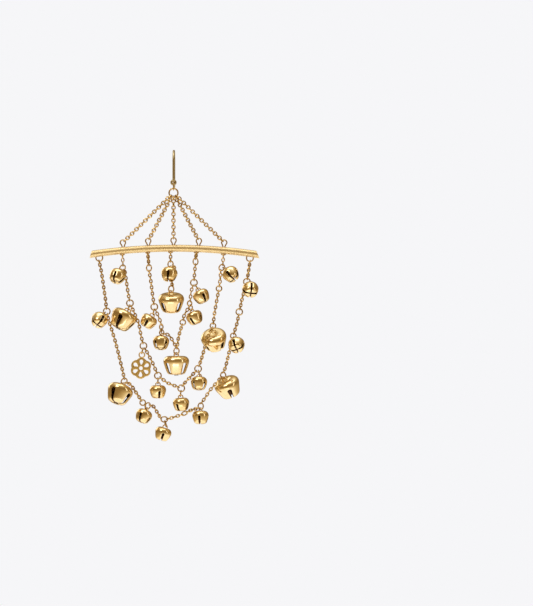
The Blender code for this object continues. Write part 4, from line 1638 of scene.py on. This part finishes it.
@dataclass
class Rosette(Assembly):
    """The flat pierced rosette on the middle swag.

    Attributes:
        radius: Its radius to the tips of its lobes.
        thickness: The plate's thickness.
        lobes: How many lobes it has.
        lobe_depth: How deep the hollows between them are.
        hole_radius: The radius of its piercings.
        hole_place: How far from its middle they lie.
        hole_stretch: How far a piercing reaches towards the middle, against its round side.
        hole_pinch: How much narrower it gets there.
        edge_round: The rounding of the edges, as a share of the thickness.
        ring_radius: The radius of its ring.
        ring_wire: The diameter of the ring's wire.
    """

    radius: float = 0.0041
    thickness: float = 0.0009
    lobes: int = 6
    lobe_depth: float = 0.12
    hole_radius: float = 0.0007
    hole_place: float = 0.0026
    hole_stretch: float = 1.75
    hole_pinch: float = 0.45
    edge_round: float = 0.14
    ring_radius: float = 0.00105
    ring_wire: float = 0.0005
    LOBE_STEPS = 16
    HOLE_STEPS = 28

    def disc(self, outline: list[tuple[float, float]], half: float) -> Mesh:
        """A flat plate in the XZ plane.

        Args:
            outline: The places of its edge, in order.
            half: Half its thickness.

        Returns:
            The mesh.
        """
        bm = bmesh.new()
        face = bm.faces.new([bm.verts.new((x, -half, z)) for x, z in outline])
        walls = bmesh.ops.extrude_face_region(bm, geom=[face])["geom"]
        moved = [item for item in walls if isinstance(item, BMVert)]
        bmesh.ops.translate(bm, verts=moved, vec=(0, 2 * half, 0))
        return Metalwork.mesh_of(bm)

    def plate(self) -> Mesh:
        """The plate with its piercings and softened edges.

        Returns:
            The mesh.
        """
        outline, steps = [], self.lobes * self.LOBE_STEPS
        for a in (2 * pi * k / steps for k in range(steps)):
            reach = self.radius * (1 - self.lobe_depth * (1 - abs(cos(a * self.lobes / 2))))
            outline.append((reach * sin(a), reach * cos(a)))
        others = bpy.data.collections.new("others")
        bpy.context.scene.collection.children.link(others)
        for k in range(self.lobes + 1):
            a, middle = 2 * pi * k / self.lobes, k == self.lobes
            edge = []
            for t in (2 * pi * j / self.HOLE_STEPS for j in range(self.HOLE_STEPS)):
                across, out = self.hole_radius * sin(t), self.hole_radius * cos(t)
                if not middle:
                    across *= 1 - self.hole_pinch * max(0.0, -cos(t))
                    out = self.hole_place + out * (1.0 if out > 0 else self.hole_stretch)
                edge.append((out * sin(a) + across * cos(a), out * cos(a) - across * sin(a)))
            others.objects.link(bpy.data.objects.new("cutter", self.disc(edge, self.thickness)))
        pierce = {"operation": "DIFFERENCE", "operand_type": "COLLECTION", "collection": others}
        mesh = Metalwork.evaluated(self.disc(outline, self.thickness / 2), [("BOOLEAN", pierce, {})])
        for obj in list(others.objects):
            bpy.data.objects.remove(obj)
        bpy.data.collections.remove(others)
        return Metalwork.evaluated(mesh, [Metalwork.bevel(self.thickness * self.edge_round, 3, 50)])

    def build(self) -> None:
        """Makes the rosette and its ring."""
        _, top, top_way = self.plan.hanging(CHARM, self.ring_wire)
        centre = Vector((0, 0, self.radius + self.ring_radius))
        ring = Metalwork.loop(centre, BACK, self.ring_radius, self.ring_wire, -UP)
        mesh = Metalwork.joined([self.plate(), ring])
        mesh.transform(hung(CHARM.axis(), top_way, top, self.radius + 2 * self.ring_radius))
        self.shop.piece("rosette_plate", mesh, [PLATE_GOLD], Body.DROP, ["pierced_rosette"])


# Studio


@dataclass(frozen=True)
class SoftBox:
    """One soft light, turned to the studio's target.

    Attributes:
        name: The light's name.
        place: Where it stands.
        width: Its width.
        height: Its height.
        power: Its power in watts.
        colour: Its colour.
    """

    name: str
    place: tuple[float, float, float]
    width: float
    height: float
    power: float
    colour: tuple[float, float, float] = (1.0, 0.98, 0.95)


@dataclass
class Studio:
    """Camera, lights, the pale surroundings and the floor.

    Attributes:
        aim: The point in the middle of the picture.
        target: The point that the lights are turned to.
        distance: The camera's distance from the aim.
        picture_height: The height that the picture spans at the earring.
        floor_z: The floor's height.
        floor_radius: The floor's radius.
        floor_glow: How strongly the floor shines.
        floor_tone: The range of the floor's brightness.
        pale: The colour of the surroundings.
        room: The colour that the metal mirrors at each angle over the horizon.
        boxes: The soft boxes.
    """

    aim: tuple[float, float, float] = (0.0358, -0.0042, -0.0583)
    target: tuple[float, float, float] = (0, -0.0042, -0.055)
    distance: float = 1.2
    picture_height: float = 0.2333
    floor_z: float = -0.2
    floor_radius: float = 0.16
    floor_glow: float = 0.55
    floor_tone: tuple[float, float] = (0.80, 0.84)
    pale: tuple[float, float, float] = (0.922, 0.922, 0.939)
    room: tuple[tuple[float, tuple[float, float, float]], ...] = (
        (-90, (0.34, 0.22, 0.09)), (-62, (0.72, 0.58, 0.38)), (-40, (1.1, 1.02, 0.86)),
        (-18, (0.60, 0.46, 0.26)), (0, (0.31, 0.21, 0.09)), (22, (0.25, 0.16, 0.065)),
        (48, (0.52, 0.40, 0.22)), (75, (1.15, 1.1, 1.0)),
    )
    boxes: tuple[SoftBox, ...] = (
        SoftBox("key", (-0.30, -0.40, 0.34), 0.26, 0.20, 0.6),
        SoftBox("top", (0.02, -0.10, 0.50), 0.60, 0.26, 0.7),
        SoftBox("side", (0.52, -0.30, 0.06), 0.10, 0.46, 0.22),
        SoftBox("front_low", (-0.04, -0.42, -0.46), 0.50, 0.20, 0.5),
        SoftBox("rear", (-0.30, 0.40, 0.10), 0.30, 0.30, 0.4),
    )

    def camera(self) -> None:
        """Makes the camera, level and square to the earring's front."""
        data = bpy.data.cameras.new("camera")
        data.sensor_width = 36.0
        data.lens = data.sensor_width * self.distance / self.picture_height
        data.clip_start, data.clip_end = 0.05, 20.0
        camera = placed("camera", data)
        camera.location = Vector(self.aim) + FORWARD * self.distance
        camera.rotation_euler = (pi / 2, 0, 0)
        bpy.context.scene.camera = camera

    def lights(self) -> None:
        """Makes the soft boxes."""
        for box in self.boxes:
            data = bpy.data.lights.new(box.name, "AREA")
            data.shape = "RECTANGLE"
            data.size, data.size_y = box.width, box.height
            data.energy, data.color = box.power, box.colour
            light = placed(box.name, data)
            light.location = box.place
            heading = Vector(self.target) - Vector(box.place)
            light.rotation_euler = heading.to_track_quat("-Z", "Y").to_euler()

    def surroundings(self) -> None:
        """Makes the room, pale where it is seen and graded where the metal mirrors it."""
        world = bpy.data.worlds.new("room")
        world.use_nodes = True
        bpy.context.scene.world = world
        b = TreeBuilder(world.node_tree)
        seen = world.node_tree.nodes["Background"]
        seen.inputs["Color"].default_value = (*self.pale, 1)
        way_out = b.add("ShaderNodeTexCoord").outputs["Generated"]
        parts = b.add("ShaderNodeSeparateXYZ", {0: way_out})
        level = b.add("ShaderNodeMapRange", {"Value": parts.outputs[2], "From Min": -1.0})
        ramp = b.add("ShaderNodeValToRGB", {0: level})
        while len(ramp.color_ramp.elements) < len(self.room):
            ramp.color_ramp.elements.new(0.5)
        for element, (angle, colour) in zip(ramp.color_ramp.elements, self.room):
            element.position = (1 + sin(radians(angle))) / 2
            element.color = (*colour, 1)
        mirrored = b.add("ShaderNodeBackground", {"Color": ramp, "Strength": 1.0})
        ray = b.add("ShaderNodeLightPath").outputs["Is Camera Ray"]
        mix = b.add("ShaderNodeMixShader", {0: ray, 1: mirrored, 2: seen})
        b.tree.links.new(mix.outputs[0], world.node_tree.nodes["World Output"].inputs["Surface"])

    def floor(self) -> None:
        """Makes the plain pale floor under the earring."""
        bm = bmesh.new()
        bmesh.ops.create_circle(bm, cap_ends=True, segments=96, radius=self.floor_radius)
        bmesh.ops.translate(bm, verts=bm.verts, vec=UP * self.floor_z)
        mesh = Metalwork.mesh_of(bm)
        material = bpy.data.materials.new("floor_pale")
        material.use_nodes = True
        b = TreeBuilder(material.node_tree)
        shader = material.node_tree.nodes["Principled BSDF"]
        glow = {"Emission Strength": self.floor_glow, "Emission Color": (*self.pale, 1)}
        for name, value in {"Roughness": 0.8, **glow}.items():
            shader.inputs[name].default_value = value
        place = b.add("ShaderNodeTexCoord").outputs["Object"]
        cloud = b.add("ShaderNodeTexNoise", {"Vector": place, "Scale": 9.0})
        dark, light = self.floor_tone
        tone = b.add("ShaderNodeMapRange", {"Value": cloud, "To Min": dark, "To Max": light})
        b.tree.links.new(tone.outputs[0], shader.inputs["Base Color"])
        mesh.materials.append(material)
        placed("floor", mesh)

    def build(self) -> None:
        """Makes the whole studio."""
        bpy.context.scene.view_settings.view_transform = "Standard"
        self.camera()
        self.lights()
        self.surroundings()
        self.floor()


def main() -> None:
    """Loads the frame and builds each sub-assembly on it."""
    logging.basicConfig(level=logging.INFO, format="%(name)s: %(message)s")
    for obj in list(bpy.data.objects):
        bpy.data.objects.remove(obj)
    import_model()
    shop, plan = Workshop(), Layout()
    maker = ChainMaker(shop)
    EarHook(shop, plan).build()
    Hanger(shop, plan).build()
    UpperChains(maker, plan).build()
    ArchedBar(shop, plan).build()
    jumps: dict[str, list[RingPlace]] = {name: [] for name in ROUTES}
    for kind, pendants in ((BellKind.SMALL, SMALL_BELLS), (BellKind.LARGE, LARGE_BELLS)):
        bells = BellMaker(shop, plan, kind)
        for number, pendant in enumerate(pendants, 1):
            bells.build(number, pendant)
            jump = plan.hanging(pendant, bells.size.bail_wire)[0]
            if jump:
                jumps[pendant.strand].append(jump)
    rosette = Rosette(shop, plan)
    rosette.build()
    jumps[CHARM.strand].append(plan.hanging(CHARM, rosette.ring_wire)[0])
    for seed, name in enumerate(ROUTES):
        Strand(maker, plan, name, jumps[name]).build(seed=20 + 10 * seed)
    Studio().build()


if __name__ == "__main__":
    main()
